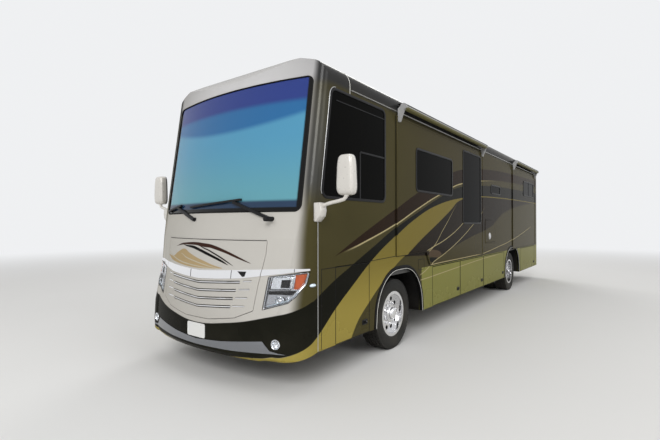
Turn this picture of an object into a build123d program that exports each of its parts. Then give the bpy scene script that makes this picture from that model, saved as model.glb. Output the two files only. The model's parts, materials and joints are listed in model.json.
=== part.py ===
import os
from math import cos, radians, sin

from build123d import *

os.makedirs("parts", exist_ok=True)

# A rear-engined motorhome. X points to the vehicle's left, Y to its rear, Z up.
# The origin is on the ground, midway along and across the vehicle. Sizes are in mm.

# Overall sizes
overall_length = 11560
overall_height = 3900
body_width = 2578
front_overhang = 2230
rear_overhang = 3183
skirt_z = 385
floor_top_z = 1045
ac_rise = 340
wall_t = 45
roof_t = 60
panel_gap = 6
hinge_gap = 0.5
seat_gap = 0.3
glass_t = 10
glass_inset = 3

half_w = body_width / 2
inner_x = half_w - wall_t
front_y = -overall_length / 2
rear_y = overall_length / 2
wheelbase = overall_length - front_overhang - rear_overhang
front_axle_y = front_y + front_overhang
rear_axle_y = front_axle_y + wheelbase
roof_crown_z = overall_height - ac_rise
sides = {"left": 1, "right": -1}

# The tables below give places as drawn for the base size. These stations carry them
# to the size asked for, so doors and windows stay between the axles they belong to.
# Columns: as drawn, as built
along_stations = [
    (1000, 1000),
    (5300, wheelbase - 847),
    (7000, wheelbase + 853),
    (8830, overall_length - front_overhang - 500),
]
height_stations = [(385, skirt_z), (1045, floor_top_z), (3560, roof_crown_z)]
drawn_half_w = 1289


def carried(value, stations):
    """A drawn place carried along the stations, with fixed distances outside them."""
    if value <= stations[0][0]:
        return stations[0][1] + value - stations[0][0]
    for (drawn0, built0), (drawn1, built1) in zip(stations, stations[1:]):
        if value <= drawn1:
            return built0 + (value - drawn0) * (built1 - built0) / (drawn1 - drawn0)
    return stations[-1][1] + value - stations[-1][0]


def from_axle(distance):
    """A place along the vehicle, drawn as a distance behind the front axle."""
    return front_axle_y + carried(distance, along_stations)


def level(z):
    """A height, drawn above the ground."""
    return carried(z, height_stations)


def across(x):
    """A place across the vehicle, drawn from its middle."""
    return x * half_w / drawn_half_w


# Front cap: where it meets the side walls and the roof
cap_seam = -1720
cap_seam_top = -1530
cap_seam_bend_z = level(1900)
cap_back = -1140
roof_joint_z = level(3150)

# Rear cap
rear_cap_depth = 330
rear_corner = 110
rear_seam_y = rear_y - rear_cap_depth

# Floor and storage bays
floor_t = 60
floor_bottom_z = floor_top_z - floor_t
bay_pan_z = 405
bay_pan_t = 35
bay_top_z = level(1000)
bulkhead_t = 30

# Chassis rails
rail_x = 430
rail_w = 80
rail_bottom_z = 610
rail_h = 250
rail_web = 10
rail_mid = rail_x - rail_w / 2
rail_top_z = rail_bottom_z + rail_h
rail_front = from_axle(-1450)
rail_rear = rear_y - 180
cross_t = 70

# Wheels and tyres
tyre_r = 464.5
tyre_w = 255
rim_r = 286
rim_w = 230
hand_holes = 10
hand_hole_r = 30
hand_hole_circle = 195
front_tyre_x = half_w - 184
rear_tyre_x = half_w - 184
dual_spacing = 335
hub_r = 110
spindle_r = 40
spindle_past = 80
kingpin_r = 24
kingpin_x = front_tyre_x - 170
run_gap = 0.3

# Slide-out rooms: the fascia overlaps the wall, and the room passes through the opening
fascia_t = 12
fascia_gap = 1
fascia_lap = 30
room_wall = 35
room_gap = 8
room_top_z = level(3110)
step_z = level(1240)
sill_z = level(1030)


def write(part, label):
    part.label = label
    export_step(part, f"parts/{label}.step")


# Front form, as level sections from the bumper to above the windshield.
# Columns: height, reach ahead of the front axle, bow of the front, corner radius
front_sections = [
    (300, 2180, 150, 270),
    (345, 2220, 150, 290),
    (480, 2230, 155, 290),
    (700, 2225, 165, 280),
    (900, 2210, 210, 240),
    (1150, 2190, 260, 205),
    (1520, 2115, 235, 155),
    (1816, 2010, 190, 100),
    (3700, 1685, 148, 86),
]
diagonal = sin(radians(45))


def front_form(inset, back):
    """Solid behind the vehicle's front face, moved inwards by the inset."""
    with BuildPart() as form:
        for z, reach, bow, corner in front_sections:
            r = corner - inset
            x = half_w - corner
            nose_y = from_axle(-reach) + inset
            end_y = from_axle(-reach + bow) + inset
            bend_y = end_y + r
            with BuildSketch(Plane.XY.offset(level(z))):
                with BuildLine():
                    ThreePointArc((-x, end_y), (0, nose_y), (x, end_y))
                    ThreePointArc(
                        (x, end_y),
                        (x + r * diagonal, bend_y - r * diagonal),
                        (x + r, bend_y),
                    )
                    Polyline((x + r, bend_y), (x + r, back), (-x - r, back), (-x - r, bend_y))
                    ThreePointArc(
                        (-x - r, bend_y),
                        (-x - r * diagonal, bend_y - r * diagonal),
                        (-x, end_y),
                    )
                make_face()
        loft(ruled=True)
    return form.part


# Roof section: the drip line, the shoulder and the edge of the crown
roof_spring_z = level(3200)
shoulder = (40, level(3330))
roof_corner = (170, level(3410))


def roof_form(inset, y0, y1):
    """Solid under the crowned roof, between two cross-planes."""
    spring_x = half_w - inset
    shoulder_x = half_w - shoulder[0] - inset * 0.75
    shoulder_z = shoulder[1] - inset * 0.6
    corner_x = half_w - roof_corner[0] - inset * 0.3
    corner_z = roof_corner[1] - inset
    with BuildPart() as form:
        with BuildSketch(Plane.XZ.offset(-y1)):
            with BuildLine():
                Polyline(
                    (-spring_x, roof_spring_z),
                    (-spring_x, 0),
                    (spring_x, 0),
                    (spring_x, roof_spring_z),
                )
                ThreePointArc(
                    (spring_x, roof_spring_z), (shoulder_x, shoulder_z), (corner_x, corner_z)
                )
                ThreePointArc((corner_x, corner_z), (0, roof_crown_z - inset), (-corner_x, corner_z))
                ThreePointArc(
                    (-corner_x, corner_z), (-shoulder_x, shoulder_z), (-spring_x, roof_spring_z)
                )
            make_face()
        extrude(amount=y1 - y0)
    return form.part


brow_front = (-1775, level(3290))
brow_mid = (-1560, level(3490))


def brow_form(inset):
    """Solid under the rounded brow over the windshield."""
    start = (from_axle(brow_front[0]) + inset, brow_front[1])
    middle = (from_axle(brow_mid[0]) + inset * 0.7, brow_mid[1] - inset * 0.7)
    end = (from_axle(cap_back), roof_crown_z - inset)
    with BuildPart() as form:
        with BuildSketch(Plane.YZ.offset(-half_w - 10)):
            with BuildLine():
                Polyline(
                    start,
                    (front_y - 100, brow_front[1]),
                    (front_y - 100, 0),
                    (0, 0),
                    (0, roof_crown_z - inset),
                    end,
                )
                ThreePointArc(end, middle, start)
            make_face()
        extrude(amount=body_width + 20)
    return form.part


def cap_shell(outer, inner):
    """Front shell between two insets of the front form."""
    back_y = from_axle(cap_back)
    skin = front_form(outer, back_y) & roof_form(outer, front_y - 50, back_y) & brow_form(outer)
    core = front_form(inner, back_y + 5) & roof_form(inner, front_y - 50, back_y + 5)
    core = core & brow_form(inner)
    return skin - core


# Outlines seen from the front, on the XZ plane. Columns: X, Z
windshield_outline = [(-1158, 1800), (1158, 1800), (1155, 3222), (-1155, 3222)]
windshield_corner = 70
hood_top = 1508
hood_outline = [
    (-845, hood_top), (845, hood_top), (845, 1370), (794, 1054), (768, 800), (560, 714), (200, 664),
    (-200, 664), (-560, 714), (-768, 800), (-794, 1054), (-845, 1370),
]
hood_corner = 22
hood_t = 35
lamp_outline = [(895, 1138), (1266, 1196), (1254, 1079), (1191, 957), (1128, 894), (870, 815)]
lamp_corner = 18
lamp_depth = 60
strip_outline = [
    (0, 1166), (350, 1182), (691, 1203), (900, 1213), (1142, 1226), (1268, 1226),
    (1268, 1206), (1180, 1196), (1040, 1174), (850, 1148), (605, 1112), (300, 1092), (0, 1078),
]
insert_outline = [
    (0, 428), (400, 455), (700, 490), (895, 512), (975, 425), (1150, 408),
    (976, 398), (540, 376), (0, 368),
]
trim_proud = 5
fog_lamp = (1038, 492, 44)


def front_prism(outline, corner=0.0, grow=0.0, side=1, back=cap_seam):
    """A prism that runs rearwards from ahead of the nose to a plane behind it."""
    with BuildPart() as prism:
        with BuildSketch(Plane.XZ.offset(-from_axle(back))):
            Polygon(*[(side * across(x), level(z)) for x, z in outline], align=None)
            if corner:
                fillet(vertices(), corner)
            if grow:
                offset(amount=grow)
        extrude(amount=from_axle(back) - front_y + 100)
    return prism.part


def trimmed(prism, top_z):
    """The prism cut off level at a hinge line."""
    with BuildPart() as cut:
        add(prism)
        split(bisect_by=Plane.XY.offset(top_z), keep=Keep.BOTTOM)
    return cut.part


def mirrored(outline):
    """A half outline closed by its reflection about the middle."""
    return outline + [(-x, z) for x, z in reversed(outline) if x > 0]


# Front cap, hollow behind, with the openings of the glass, hood and lamps.
# Its lower edge climbs from the chin to the skirt.
chin_relief = [(-2080, 0), (-2080, 318), (cap_seam, 385), (0, 385), (0, 0)]
with BuildPart() as side_relief:
    with BuildSketch(Plane.YZ.offset(-half_w - 50)):
        Polygon(
            (from_axle(cap_seam), 0),
            (from_axle(cap_seam), cap_seam_bend_z),
            (from_axle(cap_seam_top), roof_joint_z),
            (0, roof_joint_z),
            (0, 0),
            align=None,
        )
        Polygon(*[(from_axle(y), level(z)) for y, z in chin_relief], align=None)
    extrude(amount=body_width + 100)

with BuildPart() as fog_bores:
    with BuildSketch(Plane.XZ.offset(-from_axle(cap_seam))):
        for side in sides.values():
            with Locations((side * across(fog_lamp[0]), level(fog_lamp[1]))):
                Circle(fog_lamp[2])
    extrude(amount=from_axle(cap_seam) - front_y + 100)

shell = cap_shell(0, wall_t)
glass_prism = front_prism(windshield_outline, windshield_corner, back=cap_back)
hood_prism = front_prism(hood_outline, hood_corner)
hood_hole = trimmed(front_prism(hood_outline, hood_corner, panel_gap), level(hood_top) + hinge_gap)
with BuildPart() as front_cap:
    add(shell)
    add(side_relief.part, mode=Mode.SUBTRACT)
    add(glass_prism, mode=Mode.SUBTRACT)
    add(hood_hole, mode=Mode.SUBTRACT)
    add(fog_bores.part, mode=Mode.SUBTRACT)
    for side in sides.values():
        add(front_prism(lamp_outline, lamp_corner, 0, side), mode=Mode.SUBTRACT)
write(front_cap.part, "front_cap")

with BuildPart() as windshield:
    add(cap_shell(2, 2 + glass_t))
    add(glass_prism, mode=Mode.INTERSECT)
write(windshield.part, "windshield")

# Hood with its grille: long slots with raised ends, and short ones outside them.
# Columns: height at the middle, end of the long slot, ends of the short slot
grille_rows = [(768, 498, 520, 668), (853, 520, 548, 690), (938, 550, 582, 708), (1023, 588, 624, 722)]
slot_h = 30
slot_rise = 34
slot_step = 14
with BuildPart() as grille_slots:
    with BuildSketch(Plane.XZ.offset(-from_axle(cap_seam))):
        for z, long_end, short_front, short_end in grille_rows:
            rise = slot_rise * short_front / long_end
            Polygon(*[(across(x), level(h)) for x, h in [
                (-long_end, z + slot_rise), (0, z), (long_end, z + slot_rise),
                (long_end, z + slot_rise + slot_h), (0, z + slot_h), (-long_end, z + slot_rise + slot_h),
            ]], align=None)
            for side in sides.values():
                Polygon(*[(side * across(x), level(h)) for x, h in [
                    (short_front, z + rise + slot_step), (short_end, z + rise + slot_step + 8),
                    (short_end, z + rise + slot_h + 8), (short_front, z + rise + slot_h),
                ]], align=None)
    extrude(amount=from_axle(cap_seam) - front_y + 100)

with BuildPart() as hood:
    add(cap_shell(0, hood_t))
    add(hood_prism, mode=Mode.INTERSECT)
    add(grille_slots.part, mode=Mode.SUBTRACT)
write(hood.part, "hood")

with BuildPart() as headlamps:
    for side in sides.values():
        add(cap_shell(glass_inset, lamp_depth) & front_prism(lamp_outline, lamp_corner, 0, side))
    add(cap_shell(glass_inset, lamp_depth) & fog_bores.part)
write(headlamps.part, "headlamps")

# Bright strip across the nose, one piece on the hood and one each side, and the bumper's insert
trim_shell = cap_shell(-trim_proud, 0)
strip_prism = front_prism(mirrored(strip_outline))
with BuildPart() as hood_strip:
    add(trim_shell)
    add(strip_prism & hood_prism, mode=Mode.INTERSECT)
write(hood_strip.part, "hood_strip")

with BuildPart() as cap_trim:
    add(trim_shell & (strip_prism - hood_hole))
    add(trim_shell & front_prism(mirrored(insert_outline)))
    add(fog_bores.part, mode=Mode.SUBTRACT)
write(cap_trim.part, "cap_trim")

# Side openings. Columns: front, rear, bottom, top
bay_doors = {
    "left": {
        "1": (-1420, -730, 385, 1210),
        "2": (1150, 2390, 385, 1000),
        "3": (2400, 3770, 385, 1000),
        "4": (3780, 5380, 385, 1000),
        "5": (7050, 8880, 385, 1000),
    },
    "right": {
        "1": (1150, 2390, 385, 1000),
        "2": (2400, 3770, 385, 1000),
        "3": (3780, 5380, 385, 1000),
        "4": (7050, 8880, 385, 1000),
    },
}
fuel_hole = (640, 850, 990, 1150)
entry_door_hole = (-1545, -800, 430, 2650)
entry_glass_hole = (-1420, -925, 1650, 2500)

# Wheel arches. Columns: front, rear, top, lean of the ends, corner radius
arches = [(-570, 765, 1052, 15, 560), (5480, 6905, 1060, 15, 560)]

# Slide-out fascias. Columns: side, front, rear, stepped over the front wheel, travel, room depth
slides = {
    "slide_left_front": ("left", -50, 3700, True, 700, 860),
    "slide_left_rear": ("left", 6200, 8930, False, 450, 600),
    "slide_right": ("right", 700, 4200, False, 650, 800),
}
sill_step = (890, 1040)

# Windows of each slide-out and wall. Columns: front, rear, bottom, top
slide_windows = {
    "slide_left_front": [(550, 1970, 2150, 2750), (2520, 3560, 1680, 3000)],
    "slide_left_rear": [(7400, 8700, 2450, 2830)],
    "slide_right": [(1000, 2200, 2000, 2750), (2700, 3900, 2000, 2750)],
}
wall_windows = {
    "left": [(4340, 5060, 2330, 2500)],
    "right": [(-700, 100, 1950, 3000), (5300, 6100, 2200, 2750), (7300, 8400, 2200, 2750)],
}
window_corner = 55
driver_window = [(-1480, 3100), (-350, 3100), (-350, 1950), (-1655, 1950)]
driver_corner = 75


def outline_box(hole, corner=0.0):
    """An opening in the side, from its front, rear, bottom and top."""
    front, rear, bottom, top = hole
    width = from_axle(rear) - from_axle(front)
    height = level(top) - level(bottom)
    with Locations(((from_axle(rear) + from_axle(front)) / 2, (level(top) + level(bottom)) / 2)):
        if corner:
            return RectangleRounded(width, height, corner)
        return Rectangle(width, height)


def slide_outline(name, inset):
    """Fascia outline, with the step over the front wheel where there is one."""
    side, front, rear, stepped, travel, depth = slides[name]
    y0 = from_axle(front) + inset
    y1 = from_axle(rear) - inset
    low = sill_z + inset
    high = step_z + inset
    top = room_top_z - inset
    if stepped:
        step0 = from_axle(sill_step[0]) + inset
        step1 = from_axle(sill_step[1]) + inset
        return Polygon((y0, high), (step0, high), (step1, low), (y1, low), (y1, top),
                       (y0, top), align=None)
    return Polygon((y0, low), (y1, low), (y1, top), (y0, top), align=None)


def fixed_windows(side_name):
    """The wall's own windows, with the driver's on the left."""
    for hole in wall_windows[side_name]:
        outline_box(hole, window_corner)
    if side_name == "left":
        Polygon(*[(from_axle(y), level(z)) for y, z in driver_window], align=None)
        fillet([v for v in vertices() if v.X < from_axle(0)], driver_corner)


# Side walls, with the openings of the doors, windows, slide-outs and wheels
for side_name, side in sides.items():
    face = Plane.YZ.offset(side * half_w)
    with BuildPart() as side_wall:
        with BuildSketch(face):
            Polygon(
                (from_axle(cap_seam), skirt_z),
                (from_axle(cap_seam), cap_seam_bend_z),
                (from_axle(cap_seam_top), roof_joint_z),
                (rear_seam_y, roof_joint_z),
                (rear_seam_y, skirt_z),
                align=None,
            )
        extrude(amount=-side * wall_t)
        with BuildSketch(face):
            for front, rear, bottom, top in bay_doors[side_name].values():
                outline_box((front, rear, bottom - 50, top + panel_gap))
            for name in slides:
                if slides[name][0] == side_name:
                    slide_outline(name, fascia_lap - room_gap)
            if side_name == "left":
                outline_box(fuel_hole)
            else:
                outline_box(entry_door_hole)
        extrude(amount=-side * wall_t, mode=Mode.SUBTRACT)
        with BuildSketch(face):
            fixed_windows(side_name)
        extrude(amount=-side * wall_t, mode=Mode.SUBTRACT)
        for front, rear, top, lean, corner in arches:
            with BuildSketch(face):
                Polygon(
                    (from_axle(front), skirt_z - 50),
                    (from_axle(rear), skirt_z - 50),
                    (from_axle(rear - lean), level(top)),
                    (from_axle(front + lean), level(top)),
                    align=None,
                )
                fillet(vertices().group_by(Axis.Y)[-1], corner)
            extrude(amount=-side * wall_t, mode=Mode.SUBTRACT)
    write(side_wall.part, f"side_wall_{side_name}")

# Fixed side glass, one pane in each opening
with BuildPart() as side_glass:
    for side_name, side in sides.items():
        with BuildSketch(Plane.YZ.offset(side * (half_w - glass_inset))):
            fixed_windows(side_name)
        extrude(amount=-side * glass_t)
write(side_glass.part, "side_glass")

# Storage bay doors and the fuel door, hinged along the front edge at the outer face
flaps = {
    f"bay_door_{side_name}_{number}": (side_name, hole)
    for side_name, holes in bay_doors.items()
    for number, hole in holes.items()
}
front, rear, bottom, top = fuel_hole
flaps["fuel_door"] = ("left", (front, rear, bottom + panel_gap, top - panel_gap))
for name, (side_name, hole) in flaps.items():
    side = sides[side_name]
    front, rear, bottom, top = hole
    with BuildPart() as flap:
        with BuildSketch(Plane.YZ.offset(side * half_w)):
            outline_box((front + hinge_gap, rear - panel_gap, bottom, top))
        extrude(amount=-side * wall_t)
    write(flap.part, name)

# Entry door, hinged along its front edge
front, rear, bottom, top = entry_door_hole
with BuildPart() as entry_door:
    with BuildSketch(Plane.YZ.offset(-half_w)):
        outline_box((front + hinge_gap, rear - panel_gap, bottom + panel_gap, top - panel_gap))
    extrude(amount=wall_t)
    with BuildSketch(Plane.YZ.offset(-half_w)):
        outline_box(entry_glass_hole, window_corner)
    extrude(amount=wall_t, mode=Mode.SUBTRACT)
write(entry_door.part, "entry_door")

with BuildPart() as entry_door_glass:
    with BuildSketch(Plane.YZ.offset(-half_w + glass_inset)):
        outline_box(entry_glass_hole, window_corner)
    extrude(amount=glass_t)
write(entry_door_glass.part, "entry_door_glass")

# Slide-out rooms and their glass
fascia_x = half_w + fascia_gap + fascia_t
for name, (side_name, front, rear, stepped, travel, depth) in slides.items():
    side = sides[side_name]
    with BuildPart() as room:
        with BuildSketch(Plane.YZ.offset(side * fascia_x)):
            slide_outline(name, 0)
        extrude(amount=-side * fascia_t)
        with BuildSketch(Plane.YZ.offset(side * (fascia_x - fascia_t))):
            slide_outline(name, fascia_lap)
        extrude(amount=-side * depth)
        with BuildSketch(Plane.YZ.offset(side * (fascia_x - wall_t))):
            slide_outline(name, fascia_lap + room_wall)
        extrude(amount=-side * depth, mode=Mode.SUBTRACT)
        with BuildSketch(Plane.YZ.offset(side * fascia_x)):
            for hole in slide_windows[name]:
                outline_box(hole, window_corner)
        extrude(amount=-side * wall_t, mode=Mode.SUBTRACT)
    write(room.part, name)
    with BuildPart() as pane:
        with BuildSketch(Plane.YZ.offset(side * (fascia_x - glass_inset))):
            for hole in slide_windows[name]:
                outline_box(hole, window_corner)
        extrude(amount=-side * glass_t)
    write(pane.part, name.replace("slide", "slide_glass"))

# Roller toppers over the left slide-outs, and the patio awning on the right
tube_r = 42
tube_x = half_w + 92
tube_z = roof_joint_z + 75
bracket_w = 50
bracket_t = 25
foot_z = roof_joint_z - 120
foot_h = 60
# Columns: side, first bracket, last bracket, face that carries it
rollers = {
    "topper_left_front": ("left", -20, 3670, fascia_x),
    "topper_left_rear": ("left", 6230, 8900, fascia_x),
    "patio_awning": ("right", -600, 5400, half_w),
}
for name, (side_name, front, rear, foot_x) in rollers.items():
    side = sides[side_name]
    with BuildPart() as roller:
        with BuildSketch(Plane.XZ.offset(-from_axle(rear))):
            with Locations((side * tube_x, tube_z)):
                Circle(tube_r)
        extrude(amount=from_axle(rear) - from_axle(front))
        for end in (from_axle(front) + bracket_w, from_axle(rear)):
            with BuildSketch(Plane.XZ.offset(-end)):
                Polygon(
                    (side * foot_x, foot_z),
                    (side * (foot_x + bracket_t), foot_z),
                    (side * (tube_x + tube_r / 2), tube_z),
                    (side * (tube_x - tube_r / 2), tube_z + tube_r / 2),
                    (side * (foot_x + 2), tube_z - tube_r / 2),
                    (side * foot_x, foot_z + foot_h),
                    align=None,
                )
            extrude(amount=bracket_w)
    write(roller.part, name)

# Roof shell
with BuildPart() as roof:
    add(roof_form(0, from_axle(cap_back), rear_seam_y))
    add(roof_form(roof_t, from_axle(cap_back) - 5, rear_seam_y + 5), mode=Mode.SUBTRACT)
    with Locations((0, 0, roof_joint_z)):
        Box(body_width + 100, overall_length, 2 * roof_joint_z, mode=Mode.SUBTRACT,
            align=(Align.CENTER, Align.CENTER, Align.MAX))
write(roof.part, "roof")

# Rooftop air conditioners, on the crown
ac_size = (700, 1000)
ac_corner = 90
ac_taper = 12
ac_foot = 30
ac_places = [1200, 6300]
with BuildPart() as ac_units:
    for place in ac_places:
        unit_y = from_axle(place)
        with BuildPart() as unit:
            with BuildSketch(Plane.XY.offset(roof_crown_z - ac_foot)):
                with Locations((0, unit_y)):
                    RectangleRounded(*ac_size, ac_corner)
            extrude(amount=ac_rise + ac_foot, taper=ac_taper)
            add(roof_form(0, unit_y - ac_size[1], unit_y + ac_size[1]), mode=Mode.SUBTRACT)
        add(unit.part)
write(ac_units.part, "ac_units")


# Rear cap with the engine door and tail lamps
def rear_form(inset, front):
    """Solid behind the rear seam, with rounded corners and the roof's crown."""
    with BuildPart() as form:
        with BuildSketch(Plane.XY.offset(skirt_z)):
            with Locations((0, (rear_y - inset + front - rear_corner) / 2)):
                Rectangle(2 * (half_w - inset), rear_y - inset - front + rear_corner)
            fillet(vertices().group_by(Axis.Y)[-1], rear_corner - inset)
        extrude(amount=roof_crown_z)
    return form.part & roof_form(inset, front, rear_y)


engine_door_top = 1750
engine_door_outline = [(-900, 800), (900, 800), (900, engine_door_top), (-900, engine_door_top)]
vent_rows = 9
vent_pitch = 60
vent_h = 28
vent_half = 600
vent_mid_z = 1350
tail_lamp_outline = [(1000, 1050), (1160, 1050), (1160, 1450), (1000, 1450)]
lamp_proud = 8


def rear_prism(outline, grow=0.0, side=1):
    """A prism that runs forwards from behind the rear face."""
    with BuildPart() as prism:
        with BuildSketch(Plane.XZ.offset(-rear_y - 50)):
            Polygon(*[(side * across(x), level(z)) for x, z in outline], align=None)
            if grow:
                offset(amount=grow)
        extrude(amount=50 + 2 * wall_t)
    return prism.part


with BuildPart() as rear_cap:
    add(rear_form(0, rear_seam_y))
    add(rear_form(wall_t, rear_seam_y - 5), mode=Mode.SUBTRACT)
    with Locations((0, rear_seam_y, roof_crown_z / 2)):
        Box(2 * body_width, 2 * rear_cap_depth, 2 * roof_crown_z, mode=Mode.SUBTRACT,
            align=(Align.CENTER, Align.MAX, Align.CENTER))
    add(trimmed(rear_prism(engine_door_outline, panel_gap), level(engine_door_top) + hinge_gap),
        mode=Mode.SUBTRACT)
    for side in sides.values():
        add(rear_prism(tail_lamp_outline, 0, side), mode=Mode.SUBTRACT)
write(rear_cap.part, "rear_cap")

with BuildPart() as engine_door:
    add(rear_form(0, rear_seam_y) & rear_prism(engine_door_outline))
    with BuildSketch(Plane.XZ.offset(-rear_y)):
        with Locations((0, level(vent_mid_z))):
            with GridLocations(0, vent_pitch, 1, vent_rows):
                Rectangle(2 * vent_half, vent_h)
    extrude(amount=2 * wall_t, mode=Mode.SUBTRACT)
write(engine_door.part, "engine_door")

with BuildPart() as tail_lamps:
    for side in sides.values():
        with BuildSketch(Plane.XZ.offset(-rear_y - lamp_proud)):
            Polygon(*[(side * across(x), level(z)) for x, z in tail_lamp_outline], align=None)
        extrude(amount=lamp_proud + wall_t)
write(tail_lamps.part, "tail_lamps")

# Chassis: two channel rails
with BuildPart() as chassis_rails:
    for side in sides.values():
        with BuildSketch(Plane.XZ.offset(-rail_rear)):
            with Locations((side * rail_mid, rail_bottom_z + rail_h / 2)):
                Rectangle(rail_w, rail_h)
            with Locations((side * (rail_mid - rail_web), rail_bottom_z + rail_h / 2)):
                Rectangle(rail_w, rail_h - 2 * rail_web, mode=Mode.SUBTRACT)
        extrude(amount=rail_rear - rail_front)
write(chassis_rails.part, "chassis_rails")

# Cross members on the rails, under the floor. The last one drops under the rails and holds
# the hitch receiver, below the rear cap.
cross_places = [-1400, -830, 900, 2000, 3200, 4500, 5250, 6950, 8900]
cross_end = 30
receiver_w = 63.5
receiver_bore = 51
receiver_z = 345
receiver_l = 320
receiver_y = rear_y - 5
bracket_l = 120
hitch_pin_r = 8.25
hitch_pin_from_end = 50
with BuildPart() as cross_members:
    for place in cross_places:
        with Locations((0, from_axle(place), rail_top_z)):
            Box(2 * (inner_x - cross_end), cross_t, floor_bottom_z - rail_top_z,
                align=(Align.CENTER, Align.CENTER, Align.MIN))
    with Locations((0, rail_rear, receiver_z - receiver_w / 2)):
        Box(2 * rail_x, bracket_l, rail_bottom_z - receiver_z + receiver_w / 2,
            align=(Align.CENTER, Align.MAX, Align.MIN))
    with Locations((0, receiver_y, receiver_z)):
        Box(receiver_w, receiver_l, receiver_w, align=(Align.CENTER, Align.MAX, Align.CENTER))
        Box(receiver_bore, receiver_l, receiver_bore, mode=Mode.SUBTRACT,
            align=(Align.CENTER, Align.MAX, Align.CENTER))
    with Locations(Plane.YZ * Location((receiver_y - hitch_pin_from_end, receiver_z, 0))):
        Cylinder(hitch_pin_r, 2 * receiver_w, mode=Mode.SUBTRACT)
write(cross_members.part, "cross_members")

# Floor, open over the engine, with runners under the slide-outs, and the pans of the bays
bulkheads = [1110, 2395, 3775, 5390]
front_bay = (-1690, -690)
rear_bay = (7010, 8970)
pan_half = inner_x - 5
engine_half = 480
engine_span = (7450, 8860)
engine_front = from_axle(engine_span[0])
engine_rear = from_axle(engine_span[1])
engine_mid = (engine_front + engine_rear) / 2
engine_top_z = level(1430)
cover_t = 30
floor_front = from_axle(-1650)
floor_rear = rear_seam_y - 5
runner_w = 60
runner_l = 400
with BuildPart() as floor:
    with Locations((0, floor_rear, floor_bottom_z)):
        Box(2 * inner_x, floor_rear - floor_front, floor_t,
            align=(Align.CENTER, Align.MAX, Align.MIN))
    with Locations((0, engine_mid, floor_bottom_z)):
        Box(2 * (engine_half - cover_t), engine_rear - engine_front - 2 * cover_t, floor_t,
            align=(Align.CENTER, Align.CENTER, Align.MIN), mode=Mode.SUBTRACT)
    for name, (side_name, front, rear, stepped, travel, depth) in slides.items():
        for place in (1300 if stepped else front + 400, rear - 400):
            with Locations((sides[side_name] * (inner_x - runner_l / 2), from_axle(place), floor_top_z)):
                Box(runner_l, runner_w, sill_z + fascia_lap - floor_top_z - seat_gap,
                    align=(Align.CENTER, Align.CENTER, Align.MIN))
    for front, rear in [(bulkheads[0], bulkheads[-1]), front_bay, rear_bay]:
        with Locations((0, from_axle(rear), bay_pan_z)):
            Box(2 * pan_half, from_axle(rear) - from_axle(front), bay_pan_t,
                align=(Align.CENTER, Align.MAX, Align.MIN))
write(floor.part, "floor")

with BuildPart() as engine_cover:
    with Locations((0, engine_mid, floor_top_z)):
        Box(2 * engine_half, engine_rear - engine_front, engine_top_z + cover_t - floor_top_z,
            align=(Align.CENTER, Align.CENTER, Align.MIN))
        Box(2 * (engine_half - cover_t), engine_rear - engine_front - 2 * cover_t,
            engine_top_z - floor_top_z, mode=Mode.SUBTRACT,
            align=(Align.CENTER, Align.CENTER, Align.MIN))
write(engine_cover.part, "engine_cover")

# Bulkheads between the bays, notched round the rails
bulkhead_rears = [from_axle(place) for place in bulkheads]
bulkhead_rears += [from_axle(front_bay[1]), from_axle(rear_bay[0]) + bulkhead_t, from_axle(rear_bay[1])]
with BuildPart() as bay_bulkheads:
    for place in bulkhead_rears:
        with BuildSketch(Plane.XZ.offset(-place)):
            with Locations((0, (bay_pan_z + bay_pan_t + floor_bottom_z) / 2)):
                Rectangle(2 * pan_half, floor_bottom_z - bay_pan_z - bay_pan_t)
            for side in sides.values():
                with Locations((side * rail_mid, rail_bottom_z + rail_h / 2)):
                    Rectangle(rail_w + 2 * panel_gap, rail_h + 2 * panel_gap, mode=Mode.SUBTRACT)
        extrude(amount=bulkhead_t)
write(bay_bulkheads.part, "bay_bulkheads")

# Engine and generator, plain blocks at their places
engine_drop = 120
with BuildPart() as engine:
    with Locations((0, engine_mid, rail_bottom_z - engine_drop)):
        Box(2 * (rail_x - rail_w), engine_rear - engine_front - 200,
            engine_top_z - 90 - rail_bottom_z + engine_drop,
            align=(Align.CENTER, Align.CENTER, Align.MIN))
write(engine.part, "engine")

generator_size = (660, 500, 400)
with BuildPart() as generator:
    with Locations((0, from_axle(-1640), bay_pan_z + bay_pan_t)):
        Box(*generator_size, align=(Align.CENTER, Align.MIN, Align.MIN))
write(generator.part, "generator")

# Axles, knuckles and wheels
beam = 90
eye_r = 48
eye_h = 110
hanger = 70


def hangers(y):
    """Blocks that carry an axle under the rails."""
    for side in sides.values():
        with Locations((side * rail_mid, y, tyre_r)):
            Box(hanger, hanger, rail_bottom_z - tyre_r, align=(Align.CENTER, Align.CENTER, Align.MIN))


with BuildPart() as front_axle:
    with Locations((0, front_axle_y, tyre_r)):
        Box(2 * (kingpin_x - eye_r) + 20, beam, beam)
    for side in sides.values():
        with Locations((side * kingpin_x, front_axle_y, tyre_r)):
            Cylinder(eye_r, eye_h)
            Cylinder(kingpin_r + run_gap, eye_h, mode=Mode.SUBTRACT)
    hangers(front_axle_y)
write(front_axle.part, "front_axle")

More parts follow.
